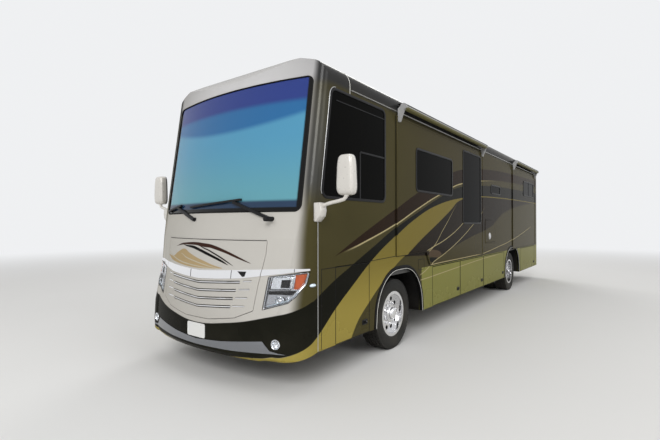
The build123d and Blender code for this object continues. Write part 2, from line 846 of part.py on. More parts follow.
knuckle_gap = 6
arm_t = 34
yoke_x = 68
yoke_t = 24
yoke_w = 110
yoke_h = eye_h + 2 * knuckle_gap + 2 * arm_t
for side_name, side in sides.items():
    with BuildPart() as knuckle:
        with Locations((side * kingpin_x, front_axle_y, tyre_r)):
            Cylinder(kingpin_r, yoke_h)
        for above in (-1, 1):
            arm_z = tyre_r + above * (eye_h / 2 + knuckle_gap + arm_t / 2)
            with Locations((side * (kingpin_x + 15), front_axle_y, arm_z)):
                Box(130, yoke_w, arm_t)
        with Locations((side * (kingpin_x + yoke_x), front_axle_y, tyre_r)):
            Box(yoke_t, yoke_w, yoke_h)
        with BuildSketch(Plane.YZ.offset(side * (kingpin_x + yoke_x))):
            with Locations((front_axle_y, tyre_r)):
                Circle(spindle_r)
        extrude(amount=side * (front_tyre_x + spindle_past - kingpin_x - yoke_x))
    write(knuckle.part, f"knuckle_{side_name}")

axle_tube_r = 75
axle_tube_half = 600
diff_r = 190
with BuildPart() as rear_axle:
    for half_length, radius in ((rear_tyre_x + spindle_past, spindle_r), (axle_tube_half, axle_tube_r)):
        with BuildSketch(Plane.YZ.offset(-half_length)):
            with Locations((rear_axle_y, tyre_r)):
                Circle(radius)
        extrude(amount=2 * half_length)
    with Locations((0, rear_axle_y, tyre_r)):
        Sphere(diff_r)
    hangers(rear_axle_y)
write(rear_axle.part, "rear_axle")

tyre_round = 45
bead_half = 95
bead_rise = 70


def tyre_ring(x, y):
    """A tyre in section, turned about its axle line."""
    h = tyre_w / 2
    with BuildPart() as ring:
        with BuildSketch(Plane.XY):
            with BuildLine():
                Polyline((x - bead_half, rim_r), (x + bead_half, rim_r), (x + h, rim_r + bead_rise),
                         (x + h, tyre_r - tyre_round), (x + h - tyre_round, tyre_r),
                         (x - h + tyre_round, tyre_r), (x - h, tyre_r - tyre_round),
                         (x - h, rim_r + bead_rise), close=True)
            make_face()
        revolve(axis=Axis.X)
    return ring.part.moved(Location((0, y, tyre_r)))


flange_h = 12
barrel_t = 25
disc_t = 22
hub_l = 90


def rim_disc(x, y, disc_x):
    """A wheel rim with its disc, hand holes and hub bore."""
    h = rim_w / 2
    bore_r = spindle_r + run_gap
    with BuildPart() as rim:
        with BuildSketch(Plane.XY):
            with BuildLine():
                Polyline((x - h, rim_r + flange_h), (x - h, rim_r - barrel_t),
                         (x + h, rim_r - barrel_t), (x + h, rim_r + flange_h),
                         (x + h - flange_h, rim_r + flange_h), (x + h - flange_h, rim_r),
                         (x - h + flange_h, rim_r), (x - h + flange_h, rim_r + flange_h),
                         close=True)
            make_face()
            with Locations((disc_x, (rim_r - flange_h + bore_r) / 2)):
                Rectangle(disc_t, rim_r - flange_h - bore_r)
            with Locations((disc_x, (hub_r + bore_r) / 2)):
                Rectangle(hub_l, hub_r - bore_r)
        revolve(axis=Axis.X)
        with BuildSketch(Plane.YZ.offset(disc_x - hub_l / 2)):
            with PolarLocations(hand_hole_circle, hand_holes):
                Circle(hand_hole_r)
        extrude(amount=hub_l, mode=Mode.SUBTRACT)
    return rim.part.moved(Location((0, y, tyre_r)))


# The front disc stands near the outer face, the rear pair's discs meet between the rims
front_dish = 35
rear_dish = 75
for side_name, side in sides.items():
    x = side * front_tyre_x
    with BuildPart() as front_tyre:
        add(tyre_ring(x, front_axle_y))
    write(front_tyre.part, f"tyre_front_{side_name}")
    with BuildPart() as front_rim:
        add(rim_disc(x, front_axle_y, x + side * front_dish))
    write(front_rim.part, f"rim_front_{side_name}")
    x_out = side * rear_tyre_x
    x_in = side * (rear_tyre_x - dual_spacing)
    with BuildPart() as rear_tyres:
        add(tyre_ring(x_out, rear_axle_y))
        add(tyre_ring(x_in, rear_axle_y))
    write(rear_tyres.part, f"tyres_rear_{side_name}")
    with BuildPart() as rear_rims:
        add(rim_disc(x_out, rear_axle_y, x_out - side * rear_dish))
        add(rim_disc(x_in, rear_axle_y, x_in + side * rear_dish))
    write(rear_rims.part, f"rims_rear_{side_name}")

# Mirrors on arms from castings on the cap's sides
mirror_bottom_w = 212
mirror_top_w = 172
mirror_h = 402
mirror_corner = 55
mirror_front_round = 34
mirror_back_round = 12
mirror_d = 104
mirror_out = 318
mirror_y = from_axle(-1675)
mirror_z = level(2147)
# The casting, seen from the front: out from the body's side, height
foot_bottom = 1690
foot_top = 1884
foot_outline = [(-30, foot_bottom), (12, foot_bottom), (70, 1745), (84, 1805), (66, foot_top),
                (-30, foot_top)]
foot_w = 104
foot_y = from_axle(-1725)
arm_r = 20
arm_start_out = 50
arm_start_z = level(1848)
arm_elbow_z = level(1905)
arm_bend = 40
with BuildPart() as mirrors:
    for side in sides.values():
        x = side * (half_w + mirror_out)
        head_front = mirror_y - mirror_d / 2
        with BuildPart() as head:
            with BuildSketch(Plane.XZ.offset(-head_front)):
                Polygon(
                    (x - mirror_bottom_w / 2, mirror_z - mirror_h / 2),
                    (x + mirror_bottom_w / 2, mirror_z - mirror_h / 2),
                    (x + mirror_top_w / 2, mirror_z + mirror_h / 2),
                    (x - mirror_top_w / 2, mirror_z + mirror_h / 2),
                    align=None,
                )
                fillet(vertices(), mirror_corner)
            extrude(amount=-mirror_d)
            fillet(head.edges().group_by(Axis.Y)[0], mirror_front_round)
            fillet(head.edges().group_by(Axis.Y)[-1], mirror_back_round)
        add(head.part)
        with BuildSketch(Plane.XZ.offset(-foot_y)):
            Polygon(*[(side * (half_w + out), level(z)) for out, z in foot_outline], align=None)
        extrude(amount=foot_w / 2, both=True)
        arm_start = (side * (half_w + arm_start_out), foot_y, arm_start_z)
        elbow = (x, mirror_y, arm_elbow_z)
        with BuildLine():
            FilletPolyline(arm_start, elbow, (x, mirror_y, mirror_z - mirror_h / 3), radius=arm_bend)
        with BuildSketch(Plane(origin=arm_start, z_dir=Vector(*elbow) - Vector(*arm_start))):
            Circle(arm_r)
        sweep()
    add(shell, mode=Mode.SUBTRACT)
    with Locations((0, from_axle(cap_seam), level(foot_bottom))):
        Box(body_width, foot_w, foot_top - foot_bottom, mode=Mode.SUBTRACT,
            align=(Align.CENTER, Align.MIN, Align.MIN))
write(mirrors.part, "mirrors")

# Wipers that lie on the glass. Columns: pivot, arm end, blade ends, seen from the front
wiper_lines = [
    ((862, 1720), (332, 1908), (440, 1932), (-440, 1868)),
    ((-300, 1720), (-800, 1880), (-690, 1895), (-1090, 1835)),
]
arm_half = 14
blade_half = 11
stem_r = 25


def bar(start, end, half):
    """A straight bar between two points of the front view."""
    (x0, z0), (x1, z1) = start, end
    run = ((x1 - x0) ** 2 + (z1 - z0) ** 2) ** 0.5
    nx = -(z1 - z0) / run * half
    nz = (x1 - x0) / run * half
    Polygon((x0 - nx, z0 - nz), (x1 - nx, z1 - nz), (x1 + nx, z1 + nz), (x0 + nx, z0 + nz), align=None)


with BuildPart() as wipers:
    for drawn in wiper_lines:
        pivot, arm_end, blade0, blade1 = [(across(x), level(z)) for x, z in drawn]
        with BuildSketch(Plane.XZ.offset(-from_axle(cap_seam))):
            bar(pivot, arm_end, arm_half)
            bar(blade0, blade1, blade_half)
        extrude(amount=from_axle(cap_seam) - front_y + 100)
    add(cap_shell(-30, -1.5), mode=Mode.INTERSECT)
    for drawn in wiper_lines:
        with BuildSketch(Plane.XZ.offset(-from_axle(cap_seam))):
            with Locations((across(drawn[0][0]), level(drawn[0][1]))):
                Circle(stem_r)
        extrude(amount=from_axle(cap_seam) - from_axle(-2040))
    add(front_form(0, from_axle(cap_back)), mode=Mode.SUBTRACT)
write(wipers.part, "wipers")

# Dashboard with the steering wheel, clear of the entry door on the right
seat_x = across(650)
dash_top_z = level(1720)
dash_profile = [
    (-1700, 1045), (-1700, 1720), (-1400, 1720), (-1330, 1570), (-1500, 1295), (-1500, 1045),
]
dash_left = inner_x - 60
dash_right = across(-1040)
column_r = 30
column_l = 160
wheel_r = 215
wheel_t = 28
with BuildPart() as dashboard:
    with BuildSketch(Plane.YZ.offset(dash_right)):
        Polygon(*[(from_axle(y), level(z)) for y, z in dash_profile], align=None)
    extrude(amount=dash_left - dash_right)
    column = Plane(origin=(seat_x, from_axle(-1360), dash_top_z - 90), z_dir=(0, 1, 0.8))
    with BuildSketch(column):
        Circle(column_r)
    extrude(amount=column_l + 10)
    with BuildSketch(column.offset(column_l)):
        Circle(wheel_r)
        Circle(wheel_r - 30, mode=Mode.SUBTRACT)
        Rectangle(2 * wheel_r - 30, 40)
        Circle(50)
    extrude(amount=wheel_t)
write(dashboard.part, "dashboard")

# Driver's and passenger's seats. Columns: width, length, height, rise, set back
seat_blocks = [(360, 400, 300, 0, 0), (560, 560, 150, 300, 0), (540, 140, 800, 400, 250)]
with BuildPart() as seats:
    for x, place in ((seat_x, -650), (-seat_x, -150)):
        for width, length, height, rise, set_back in seat_blocks:
            with Locations((x, from_axle(place) + set_back, floor_top_z + rise)):
                Box(width, length, height, align=(Align.CENTER, Align.CENTER, Align.MIN))
write(seats.part, "seats")
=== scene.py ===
import json
import math

import bmesh
import bpy
from mathutils import Matrix, Vector
from mathutils.bvhtree import BVHTree


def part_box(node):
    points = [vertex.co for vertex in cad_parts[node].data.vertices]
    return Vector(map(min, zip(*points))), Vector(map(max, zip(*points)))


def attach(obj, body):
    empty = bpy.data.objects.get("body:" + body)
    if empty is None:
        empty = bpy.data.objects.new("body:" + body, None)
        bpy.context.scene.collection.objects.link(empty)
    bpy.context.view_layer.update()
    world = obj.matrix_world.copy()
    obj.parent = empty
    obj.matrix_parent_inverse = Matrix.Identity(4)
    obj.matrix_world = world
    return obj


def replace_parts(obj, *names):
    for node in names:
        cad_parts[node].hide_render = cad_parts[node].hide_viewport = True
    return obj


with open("model.json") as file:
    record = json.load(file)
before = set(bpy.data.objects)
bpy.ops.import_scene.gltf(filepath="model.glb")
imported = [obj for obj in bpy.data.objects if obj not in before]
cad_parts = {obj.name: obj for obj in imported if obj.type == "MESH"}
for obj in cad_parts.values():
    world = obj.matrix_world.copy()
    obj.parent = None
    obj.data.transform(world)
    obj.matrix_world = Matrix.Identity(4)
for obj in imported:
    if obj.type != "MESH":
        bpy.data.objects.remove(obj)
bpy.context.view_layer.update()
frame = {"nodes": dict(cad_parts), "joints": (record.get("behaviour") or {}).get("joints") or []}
nodes = frame["nodes"]
joints = {j["name"]: j for j in frame["joints"]}
frontAxle = joints["steer_left"]["pos_m"][1]
rearAxle = joints["wheel_rear_left_spin"]["pos_m"][1]
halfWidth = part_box("side_wall_left")[1].x
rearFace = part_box("rear_cap")[1].y
slideFace = 1.302  # of the slide rooms, along X
tags = {1: "left", -1: "right"}  # the side along X, as in names
print("frame loaded:", len(nodes), "nodes")


def fromAxle(y):
    return frontAxle + y  # a place along the coach, behind the front axle


# Shader helpers. A value is a socket to link or a plain number or colour

def feed(t, value, socket):
    if isinstance(value, bpy.types.NodeSocket):
        t.links.new(value, socket)
    else:
        socket.default_value = value


def node(t, kind, **inputs):
    n = t.nodes.new(kind)
    for key, value in inputs.items():
        name = key.replace("_", " ")
        if hasattr(n, key) and name not in n.inputs.keys():
            setattr(n, key, value)
        else:
            feed(t, value, n.inputs[name])
    return n


def calc(t, operation, *values, clamp=False):
    n = node(t, "ShaderNodeMath", operation=operation, use_clamp=clamp)
    for value, socket in zip(values, n.inputs):
        feed(t, value, socket)
    return n.outputs[0]


def mul(t, *values):
    out = values[0]
    for v in values[1:]:
        out = calc(t, "MULTIPLY", out, v)
    return out


def add(t, a, b):
    return calc(t, "ADD", a, b)


def sub(t, a, b):
    return calc(t, "SUBTRACT", a, b)


def split(t, place):
    return node(t, "ShaderNodeSeparateXYZ", Vector=place).outputs


def ramp(t, value, lo, hi, toLo=0.0, toHi=1.0):
    return node(t, "ShaderNodeMapRange", interpolation_type="SMOOTHSTEP", Value=value, From_Min=lo, From_Max=hi,
        To_Min=toLo, To_Max=toHi).outputs[0]


def fall(t, value, lo, hi):
    return ramp(t, value, lo, hi, 1.0, 0.0)


def blendColor(t, factor, a, b):
    n = node(t, "ShaderNodeMix", data_type="RGBA")
    for i, v in ((0, factor), (6, a), (7, b)):  # the sockets of a colour mix
        feed(t, (*v, 1) if isinstance(v, tuple) else v, n.inputs[i])
    return n.outputs[2]


def addSockets(tree, way, rows):
    for label, kind, *value in rows:
        s = tree.interface.new_socket(label, in_out=way, socket_type="NodeSocket" + kind)
        if value:
            s.default_value = value[0]


def startGroup(name, ins, outs):
    g = bpy.data.node_groups.new(name, "ShaderNodeTree")
    addSockets(g, "INPUT", ins)
    addSockets(g, "OUTPUT", outs)
    return g, g.nodes.new("NodeGroupInput").outputs, g.nodes.new("NodeGroupOutput").inputs


def useGroup(t, group, **inputs):
    return node(t, "ShaderNodeGroup", node_tree=group, **inputs).outputs


def makeMottle():
    g, gi, go = startGroup("mottle", [("Place", "Vector"), ("Scale", "Float", 4.0), ("Amount", "Float", 0.1)],
        [("Shade", "Float"), ("Fine", "Float")])
    big = node(g, "ShaderNodeTexNoise", Vector=gi["Place"], Scale=gi["Scale"], Detail=5.0)
    fine = node(g, "ShaderNodeTexNoise", Vector=gi["Place"], Scale=mul(g, gi["Scale"], 18.0), Detail=3.0)
    feed(g, add(g, mul(g, sub(g, big.outputs["Fac"], 0.5), gi["Amount"]), 1.0), go["Shade"])
    feed(g, fine.outputs["Fac"], go["Fine"])
    return g


def makeRoadDust():
    g, gi, go = startGroup("roadDust", [("Place", "Vector"), ("Top", "Float", 1.0)], [("Mask", "Float")])
    noise = node(g, "ShaderNodeTexNoise", Vector=gi["Place"], Scale=3.0, Detail=6.0)
    low = fall(g, split(g, gi["Place"])["Z"], 0.25, gi["Top"])
    feed(g, mul(g, low, ramp(g, noise.outputs["Fac"], 0.2, 0.9)), go["Mask"])
    return g


mottle = makeMottle()
roadDust = makeRoadDust()


def startMaterial(name, **constants):
    m = bpy.data.materials.new(name)
    m.use_nodes = True
    t = m.node_tree
    shader = t.nodes["Principled BSDF"]
    for key, value in constants.items():
        shader.inputs[key.replace("_", " ")].default_value = value
    return m, t, shader, t.nodes.new("ShaderNodeTexCoord").outputs["Object"]


def shaded(t, place, color, scale, amount):
    wave = useGroup(t, mottle, Place=place, Scale=scale, Amount=amount)
    tint = node(t, "ShaderNodeVectorMath", operation="SCALE", Scale=wave["Shade"])
    feed(t, color, tint.inputs[0])
    return tint.outputs[0], wave["Fine"]


def tinted(t, shader, place, color, scale, amount):
    tint, fine = shaded(t, place, color, scale, amount)
    feed(t, tint, shader.inputs["Base Color"])
    return fine


def bumped(t, shader, height, strength, distance):
    b = node(t, "ShaderNodeBump", Height=height, Strength=strength, Distance=distance)
    t.links.new(b.outputs[0], shader.inputs["Normal"])


def grained(t, shader, place, scale, detail, strength, distance):
    fine = node(t, "ShaderNodeTexNoise", Vector=place, Scale=scale, Detail=detail)
    bumped(t, shader, fine.outputs["Fac"], strength, distance)


def mixShaders(t, factor, a, b, out):
    mix = t.nodes.new("ShaderNodeMixShader")
    for value, socket in zip((factor, a.outputs[0], b.outputs[0]), mix.inputs):
        t.links.new(value, socket)
    t.links.new(mix.outputs[0], out)


def seenRays(t):
    path = t.nodes.new("ShaderNodeLightPath").outputs
    return calc(t, "MAXIMUM", path["Is Camera Ray"], calc(t, "MAXIMUM", path["Is Glossy Ray"],
        path["Is Transmission Ray"]))


# Camera, floor and light

photoView = {
    "place": (3.8895, -5.0086, 1.6757), "yaw": 36.6619, "pitch": 0.4542, "roll": -0.0417,
    "focalPixels": 417.1733, "photoWidth": 660}
yaw, pitch = math.radians(photoView["yaw"]), math.radians(photoView["pitch"])
look = Vector((-math.sin(yaw) * math.cos(pitch), math.cos(yaw) * math.cos(pitch), math.sin(pitch)))
camData = bpy.data.cameras.new("photoCamera")
camData.sensor_width = 36
camData.sensor_fit = "HORIZONTAL"
camData.lens = photoView["focalPixels"] / photoView["photoWidth"] * camData.sensor_width
camData.clip_end = 200
cam = bpy.data.objects.new("photoCamera", camData)
bpy.context.scene.collection.objects.link(cam)
turn = look.to_track_quat("-Z", "Y").to_matrix().to_4x4() @ Matrix.Rotation(math.radians(photoView["roll"]), 4, "Z")
px, py, pz = photoView["place"]
cam.matrix_world = Matrix.Translation((px, fromAxle(py), pz)) @ turn
bpy.context.scene.camera = cam
bpy.context.scene.view_settings.view_transform = "Standard"

studio = {
    "floorSize": 160, "floorColor": (0.74, 0.735, 0.72, 1), "backdrop": (0.93, 0.94, 0.955, 1),
    "backdropStrength": 0.93, "lightStrength": 0.45, "floorFade": (9.5, 25.0),
    "lamps": [  # name, place, aim, size, watts
        ("keyLamp", (9, -22, 14), (0, -5, 1.6), 10, 2900),
        ("sideLamp", (16, -4, 12), (0, 0, 1.6), 10, 700),
        ("backLamp", (-10, 15, 13), (0, 3, 2), 9, 1200),
        ("topLamp", (0, 0, 17), (0, 0, 0), 13, 450)]}


def lightStudio():
    world = bpy.data.worlds.new("studioWorld")
    bpy.context.scene.world = world
    world.use_nodes = True
    t = world.node_tree
    t.nodes.clear()
    lit = node(t, "ShaderNodeBackground", Color=(1, 1, 1, 1), Strength=studio["lightStrength"])
    shown = node(t, "ShaderNodeBackground", Color=studio["backdrop"], Strength=studio["backdropStrength"])
    mixShaders(t, seenRays(t), lit, shown, t.nodes.new("ShaderNodeOutputWorld").inputs[0])
    for name, place, aim, size, watts in studio["lamps"]:
        lamp = bpy.data.lights.new(name, "AREA")
        lamp.size, lamp.energy = size, watts
        o = bpy.data.objects.new(name, lamp)
        bpy.context.scene.collection.objects.link(o)
        o.location = place
        o.rotation_euler = (Vector(aim) - Vector(place)).to_track_quat("-Z", "Y").to_euler()


lightStudio()


# Painted stripes, as edges along the side. Points: distance behind the front axle, height

stripes = {
    "start": -2.4, "length": 12.0, "height": 4.0, "soft": 0.004, "drop": 0.1,
    # the sides' taupe is real paint, darkened further as painted shade
    "champagne": (0.52, 0.5, 0.462), "taupe": (0.062, 0.053, 0.02), "black": (0.007, 0.007, 0.004),
    "gold": (0.195, 0.155, 0.036), "goldFoot": (0.345, 0.275, 0.062), "brown": (0.022, 0.011, 0.004),
    "line": (0.46, 0.39, 0.21),
    "skirt": (0.245, 0.24, 0.07), "umber": (0.017, 0.011, 0.005),
    # the pillar and brow greys darken the upper walls towards the roof: painted shade
    "roof": (0.56, 0.555, 0.535), "pillar": (0.066, 0.066, 0.063), "brow": (0.036, 0.036, 0.036),
    "tan": (0.085, 0.06, 0.036), "crown": (0.66, 0.65, 0.65),
    # where a field begins or ends: from one value to another, along z or y or outwards
    # on the next line, the first two: where the painted shade of the upper walls begins, and where it deepens towards
    # the roof
    "darkRise": (1.75, 2.15), "browRise": (2.95, 3.2), "cabStart": (-1.8, -1.35), "cabTop": (3.1, 3.2),
    "narrower": 0.03, "noseOut": (1.12, 1.25), "noseBack": (-1.9, -1.2), "crownRise": (3.1, 3.26),
    "skirtStart": (0.75, 0.76), "skirtTop": (1.012, 1.02), "umberStart": (0.0, 0.02), "goldRise": (0.55, 1.45),
    "noseEnd": (-1.785, -1.775), "brownStart": (-1.45, -1.43), "edgeStart": (-1.3, -0.9), "edgeEnd": (2.4, 5.0),
    "roofRise": (3.36, 3.37), "roofOut": (1.115, 1.12), "roofStart": (-1.13, -1.125), "roofEnd": (8.99, 8.995),
    "edgeWide": 0.018, "lineWide": 0.012, "lineIn": 0.1, "lineOut": 0.7, "patchIn": 0.01,
    # small patches under the slide room, painted shade and reflection by its lower front corner: colour, upper edge,
    # lower edge
    "patches": [("tan", [(0.974, 1.166), (1.043, 1.268), (1.438, 1.218), (1.499, 1.179)],
        [(0.974, 1.166), (1.316, 1.132), (1.499, 1.179)]),
        ("black", [(1.001, 1.097), (1.029, 1.151), (1.316, 1.132)],
            [(1.001, 1.097), (1.141, 1.064), (1.316, 1.132)])],
    "noseEdge": [(0.0, 0.606), (0.153, 0.612), (0.424, 0.646), (0.658, 0.683), (0.789, 0.712), (0.909, 0.742),
        (1.024, 0.77), (1.142, 0.802), (1.212, 0.832), (1.264, 0.868), (1.289, 0.905)],
    "brownTop": [(-1.44, 1.32), (-0.93, 1.53), (-0.1, 1.85), (0.64, 2.13), (1.6, 2.44), (2.6, 2.66), (9.4, 3.0)],
    "brownLow": [(-1.44, 1.32), (-0.93, 1.44), (-0.1, 1.66), (0.53, 1.87), (1.38, 2.13), (2.6, 2.42), (9.4, 2.8)],
    "blackTop": [(-2.1, 0.745), (-1.78, 0.905), (-1.72, 0.935), (-1.46, 1.06), (-1.14, 1.19), (-0.61, 1.4),
        (-0.11, 1.6), (0.53, 1.81), (1.47, 2.1), (2.5, 2.34), (9.4, 2.6)],
    "blackLow": [(-2.1, 0.345), (-2.03, 0.39), (-1.93, 0.435), (-1.84, 0.475), (-1.74, 0.53), (-1.4, 0.78),
        (-1.13, 0.95), (-0.61, 1.26), (-0.11, 1.49), (0.52, 1.74), (1.26, 1.95), (2.35, 2.12), (4.0, 2.24),
        (9.4, 2.3)],
    "goldLow": [(-1.3, 0.2), (-1.12, 0.39), (-0.98, 0.56), (-0.74, 0.73), (-0.49, 0.89), (0.03, 1.16), (0.27, 1.25),
        (0.7, 1.43), (1.41, 1.7), (1.91, 1.9), (2.35, 2.08), (4.0, 2.22), (9.4, 2.28)],
    "umberLow": [(0.1, 1.22), (0.91, 1.19), (1.5, 1.17), (2.1, 1.28), (3.0, 1.42), (4.3, 1.6), (5.4, 1.92),
        (9.4, 2.35)],
    # pinstripes, and how far back each one fades
    "lines": [([(0.66, 0.915), (0.949, 0.985), (1.141, 1.07), (1.593, 1.174), (2.172, 1.332), (3.1, 1.66),
        (4.2, 2.15)], 4.0),
        ([(0.893, 1.262), (1.2, 1.323), (1.563, 1.391), (2.3, 1.6), (3.3, 2.05)], 3.2),
        ([(0.66, 0.84), (1.058, 0.855), (1.854, 0.886), (2.584, 0.914), (3.446, 0.945), (5.4, 0.985)], 5.2),
        ([(0.95, 1.24), (1.6, 1.6), (2.1, 1.95), (2.45, 2.2), (2.8, 2.5)], 2.3),
        ([(3.7, 1.055), (4.4, 1.105), (5.0, 1.155), (5.644, 1.206), (6.9, 1.36), (8.9, 1.66)], 8.6),
        ([(1.0, 1.045), (2.547, 1.055), (3.72, 1.062), (3.9, 1.07)], 3.8)]}
noseEdges = {"start": 0.0, "length": 2.0, "height": 2.0, "drop": 0.0}


def edgeHeight(t, along, points, table=stripes):
    curve = t.nodes.new("ShaderNodeFloatCurve")
    c = curve.mapping.curves[0]
    pts = [((y - table["start"]) / table["length"], z / table["height"]) for y, z in points]
    if pts[0][0] > 0.001:
        pts.insert(0, (0.0, pts[0][1] - table["drop"]))
    while len(c.points) < len(pts):
        c.points.new(0.5, 0.5)
    for p, (x, y) in zip(c.points, pts):
        p.location = (x, max(0.0, y))
        p.handle_type = "AUTO_CLAMPED"
    curve.mapping.extend = "HORIZONTAL"
    curve.mapping.update()
    t.links.new(along, curve.inputs["Value"])
    return mul(t, curve.outputs["Value"], table["height"])


def underEdge(t, z, edge, soft):
    return ramp(t, sub(t, edge, z), -soft, soft)


def makeCoachStripes():
    g, gi, go = startGroup("coachStripes", [("Place", "Vector")], [("Color", "Color")])
    s = stripes
    x, y, z = split(g, gi["Place"])
    y = sub(g, y, frontAxle)
    along = calc(g, "DIVIDE", sub(g, y, s["start"]), s["length"], clamp=True)
    soft = s["soft"]

    def below(points, lift=0.0):
        return underEdge(g, sub(g, z, lift), edgeHeight(g, along, points), soft)

    def between(low, high, liftLow=0.0):
        return mul(g, below(high), sub(g, 1.0, below(low, liftLow)))

    out = calc(g, "ABSOLUTE", x)
    # the upper walls turn grey and darker towards the roof as painted shade; the cab's side keeps its taupe
    high = ramp(g, z, *s["darkRise"])
    shadeGrey = blendColor(g, ramp(g, z, *s["browRise"]), s["pillar"], s["brow"])
    cabSide = mul(g, ramp(g, y, *s["cabStart"]), fall(g, z, *s["cabTop"]))
    shadeGrey = blendColor(g, cabSide, shadeGrey, s["taupe"])
    shade = blendColor(g, high, s["taupe"], shadeGrey)
    edge = add(g, out, mul(g, high, s["narrower"]))
    # champagne nose turning to taupe sides is two-tone paint; the sides' darker look is partly painted shade
    turned = calc(g, "MAXIMUM", ramp(g, edge, *s["noseOut"]), ramp(g, y, *s["noseBack"]))  # pale nose, dark sides
    pale = blendColor(g, ramp(g, z, *s["crownRise"]), s["champagne"], s["crown"])
    color = blendColor(g, turned, pale, shade)

    def stroke(mask, tone):
        nonlocal color
        color = blendColor(g, mask, color, stripes[tone])

    skirt = mul(g, fall(g, z, *s["skirtTop"]), ramp(g, y, *s["skirtStart"]))
    stroke(skirt, "skirt")
    umber = mul(g, between(s["umberLow"], s["goldLow"]), ramp(g, y, *s["umberStart"]))
    stroke(umber, "umber")
    gold = between(s["goldLow"], s["blackLow"])
    color = blendColor(g, gold, color, blendColor(g, ramp(g, z, *s["goldRise"]), s["goldFoot"], s["gold"]))
    nose = fall(g, y, *s["noseEnd"])  # round the nose, the edge goes by the place across
    across = edgeHeight(g, calc(g, "DIVIDE", out, noseEdges["length"], clamp=True), s["noseEdge"], noseEdges)
    blackTop = node(g, "ShaderNodeMix", Factor=nose, A=edgeHeight(g, along, s["blackTop"]), B=across)
    black = mul(g, underEdge(g, z, blackTop.outputs[0], soft), sub(g, 1.0, below(s["blackLow"])))
    stroke(black, "black")
    brown = mul(g, between(s["brownLow"], s["brownTop"]), ramp(g, y, *s["brownStart"]))
    stroke(brown, "brown")
    edgeLine = mul(g, between(s["brownLow"], s["brownLow"], -s["edgeWide"]), ramp(g, y, *s["edgeStart"]),
        fall(g, y, *s["edgeEnd"]))
    stroke(edgeLine, "line")
    # patches of painted shade and reflection by the slide room's lower front corner
    for tone, upper, lower in s["patches"]:
        first, last = upper[0][0], upper[-1][0]
        patch = mul(g, between(lower, upper), ramp(g, y, first, first + s["patchIn"]),
            fall(g, y, last - s["patchIn"], last))
        stroke(patch, tone)
    for points, end in s["lines"]:
        first = points[0][0]
        line = mul(g, between(points, points, -s["lineWide"]), ramp(g, y, first, first + s["lineIn"]),
            fall(g, y, end - s["lineOut"], end))
        stroke(line, "line")
    top = mul(g, ramp(g, z, *s["roofRise"]), fall(g, out, *s["roofOut"]), ramp(g, y, *s["roofStart"]),
        fall(g, y, *s["roofEnd"]))
    stroke(top, "roof")
    g.links.new(color, go["Color"])
    return g


coachStripes = makeCoachStripes()


# Painted leaves on the hood. Points: place across, height
hoodLeaves = {
    "start": -1.0, "length": 2.0, "height": 2.0, "soft": 0.0035, "drop": 0.0, "end": 0.03,
    "shapes": [
        ("sand", (0.42, 0.315, 0.17), [(-0.9, 1.3), (-0.68, 1.285), (-0.52, 1.345), (-0.38, 1.383), (-0.26, 1.346),
            (-0.1, 1.3), (0.067, 1.262), (0.21, 1.228), (0.36, 1.202)],
            [(-0.9, 1.3), (-0.68, 1.24), (-0.44, 1.21), (-0.21, 1.192), (-0.02, 1.186), (0.16, 1.19), (0.36, 1.2)]),
        ("sandLine", (0.5, 0.46, 0.36), [(-0.9, 1.338), (-0.68, 1.292), (-0.44, 1.245), (-0.21, 1.221), (0.0, 1.206),
            (0.25, 1.192)], [(-0.9, 1.334), (-0.68, 1.282), (-0.44, 1.234), (-0.21, 1.211), (0.0, 1.198),
            (0.25, 1.19)]),
        ("lowLine", (0.5, 0.46, 0.36), [(-0.46, 1.33), (-0.3, 1.292), (-0.1, 1.258), (0.1, 1.225), (0.3, 1.197)],
            [(-0.46, 1.326), (-0.3, 1.282), (-0.1, 1.248), (0.1, 1.217), (0.3, 1.193)]),
        ("blackLow", (0.006, 0.005, 0.005), [(-0.45, 1.432), (-0.341, 1.428), (-0.188, 1.424), (-0.041, 1.392),
            (0.043, 1.371), (0.189, 1.33), (0.322, 1.286), (0.434, 1.233)],
            [(-0.45, 1.43), (-0.336, 1.412), (-0.18, 1.392), (-0.059, 1.366), (0.049, 1.338), (0.194, 1.3),
            (0.326, 1.262), (0.434, 1.231)]),
        ("blackHigh", (0.008, 0.006, 0.005), [(-0.2, 1.446), (-0.08, 1.432), (0.034, 1.404), (0.093, 1.392),
            (0.18, 1.364), (0.282, 1.328), (0.379, 1.287), (0.499, 1.226)],
            [(-0.2, 1.445), (-0.08, 1.424), (0.036, 1.391), (0.097, 1.376), (0.185, 1.346), (0.286, 1.31),
            (0.382, 1.271), (0.499, 1.224)]),
        ("brown", (0.04, 0.017, 0.012), [(-0.62, 1.409), (-0.463, 1.444), (-0.338, 1.457), (-0.153, 1.465),
            (0.02, 1.456), (0.092, 1.451), (0.176, 1.437), (0.359, 1.389), (0.533, 1.33), (0.665, 1.278),
            (0.705, 1.262)], [(-0.62, 1.407), (-0.463, 1.424), (-0.338, 1.433), (-0.153, 1.432), (0.031, 1.413),
            (0.102, 1.411), (0.185, 1.397), (0.365, 1.357), (0.537, 1.306), (0.665, 1.27), (0.705, 1.26)])]}


def makeHoodLeaves():
    g, gi, go = startGroup("hoodLeaves", [("Place", "Vector"), ("Base", "Color")], [("Color", "Color")])
    s = hoodLeaves
    x, _, z = split(g, gi["Place"])
    along = calc(g, "DIVIDE", sub(g, x, s["start"]), s["length"], clamp=True)
    color = gi["Base"]
    for name, tint, top, low in s["shapes"]:
        high = underEdge(g, z, edgeHeight(g, along, top, s), s["soft"])
        under = underEdge(g, z, edgeHeight(g, along, low, s), s["soft"])
        first, last, end = top[0][0], top[-1][0], s["end"]
        mask = mul(g, high, sub(g, 1.0, under), ramp(g, x, first, first + end), fall(g, x, last - end, last))
        color = blendColor(g, mask, color, tint)
    g.links.new(color, go["Color"])
    return g


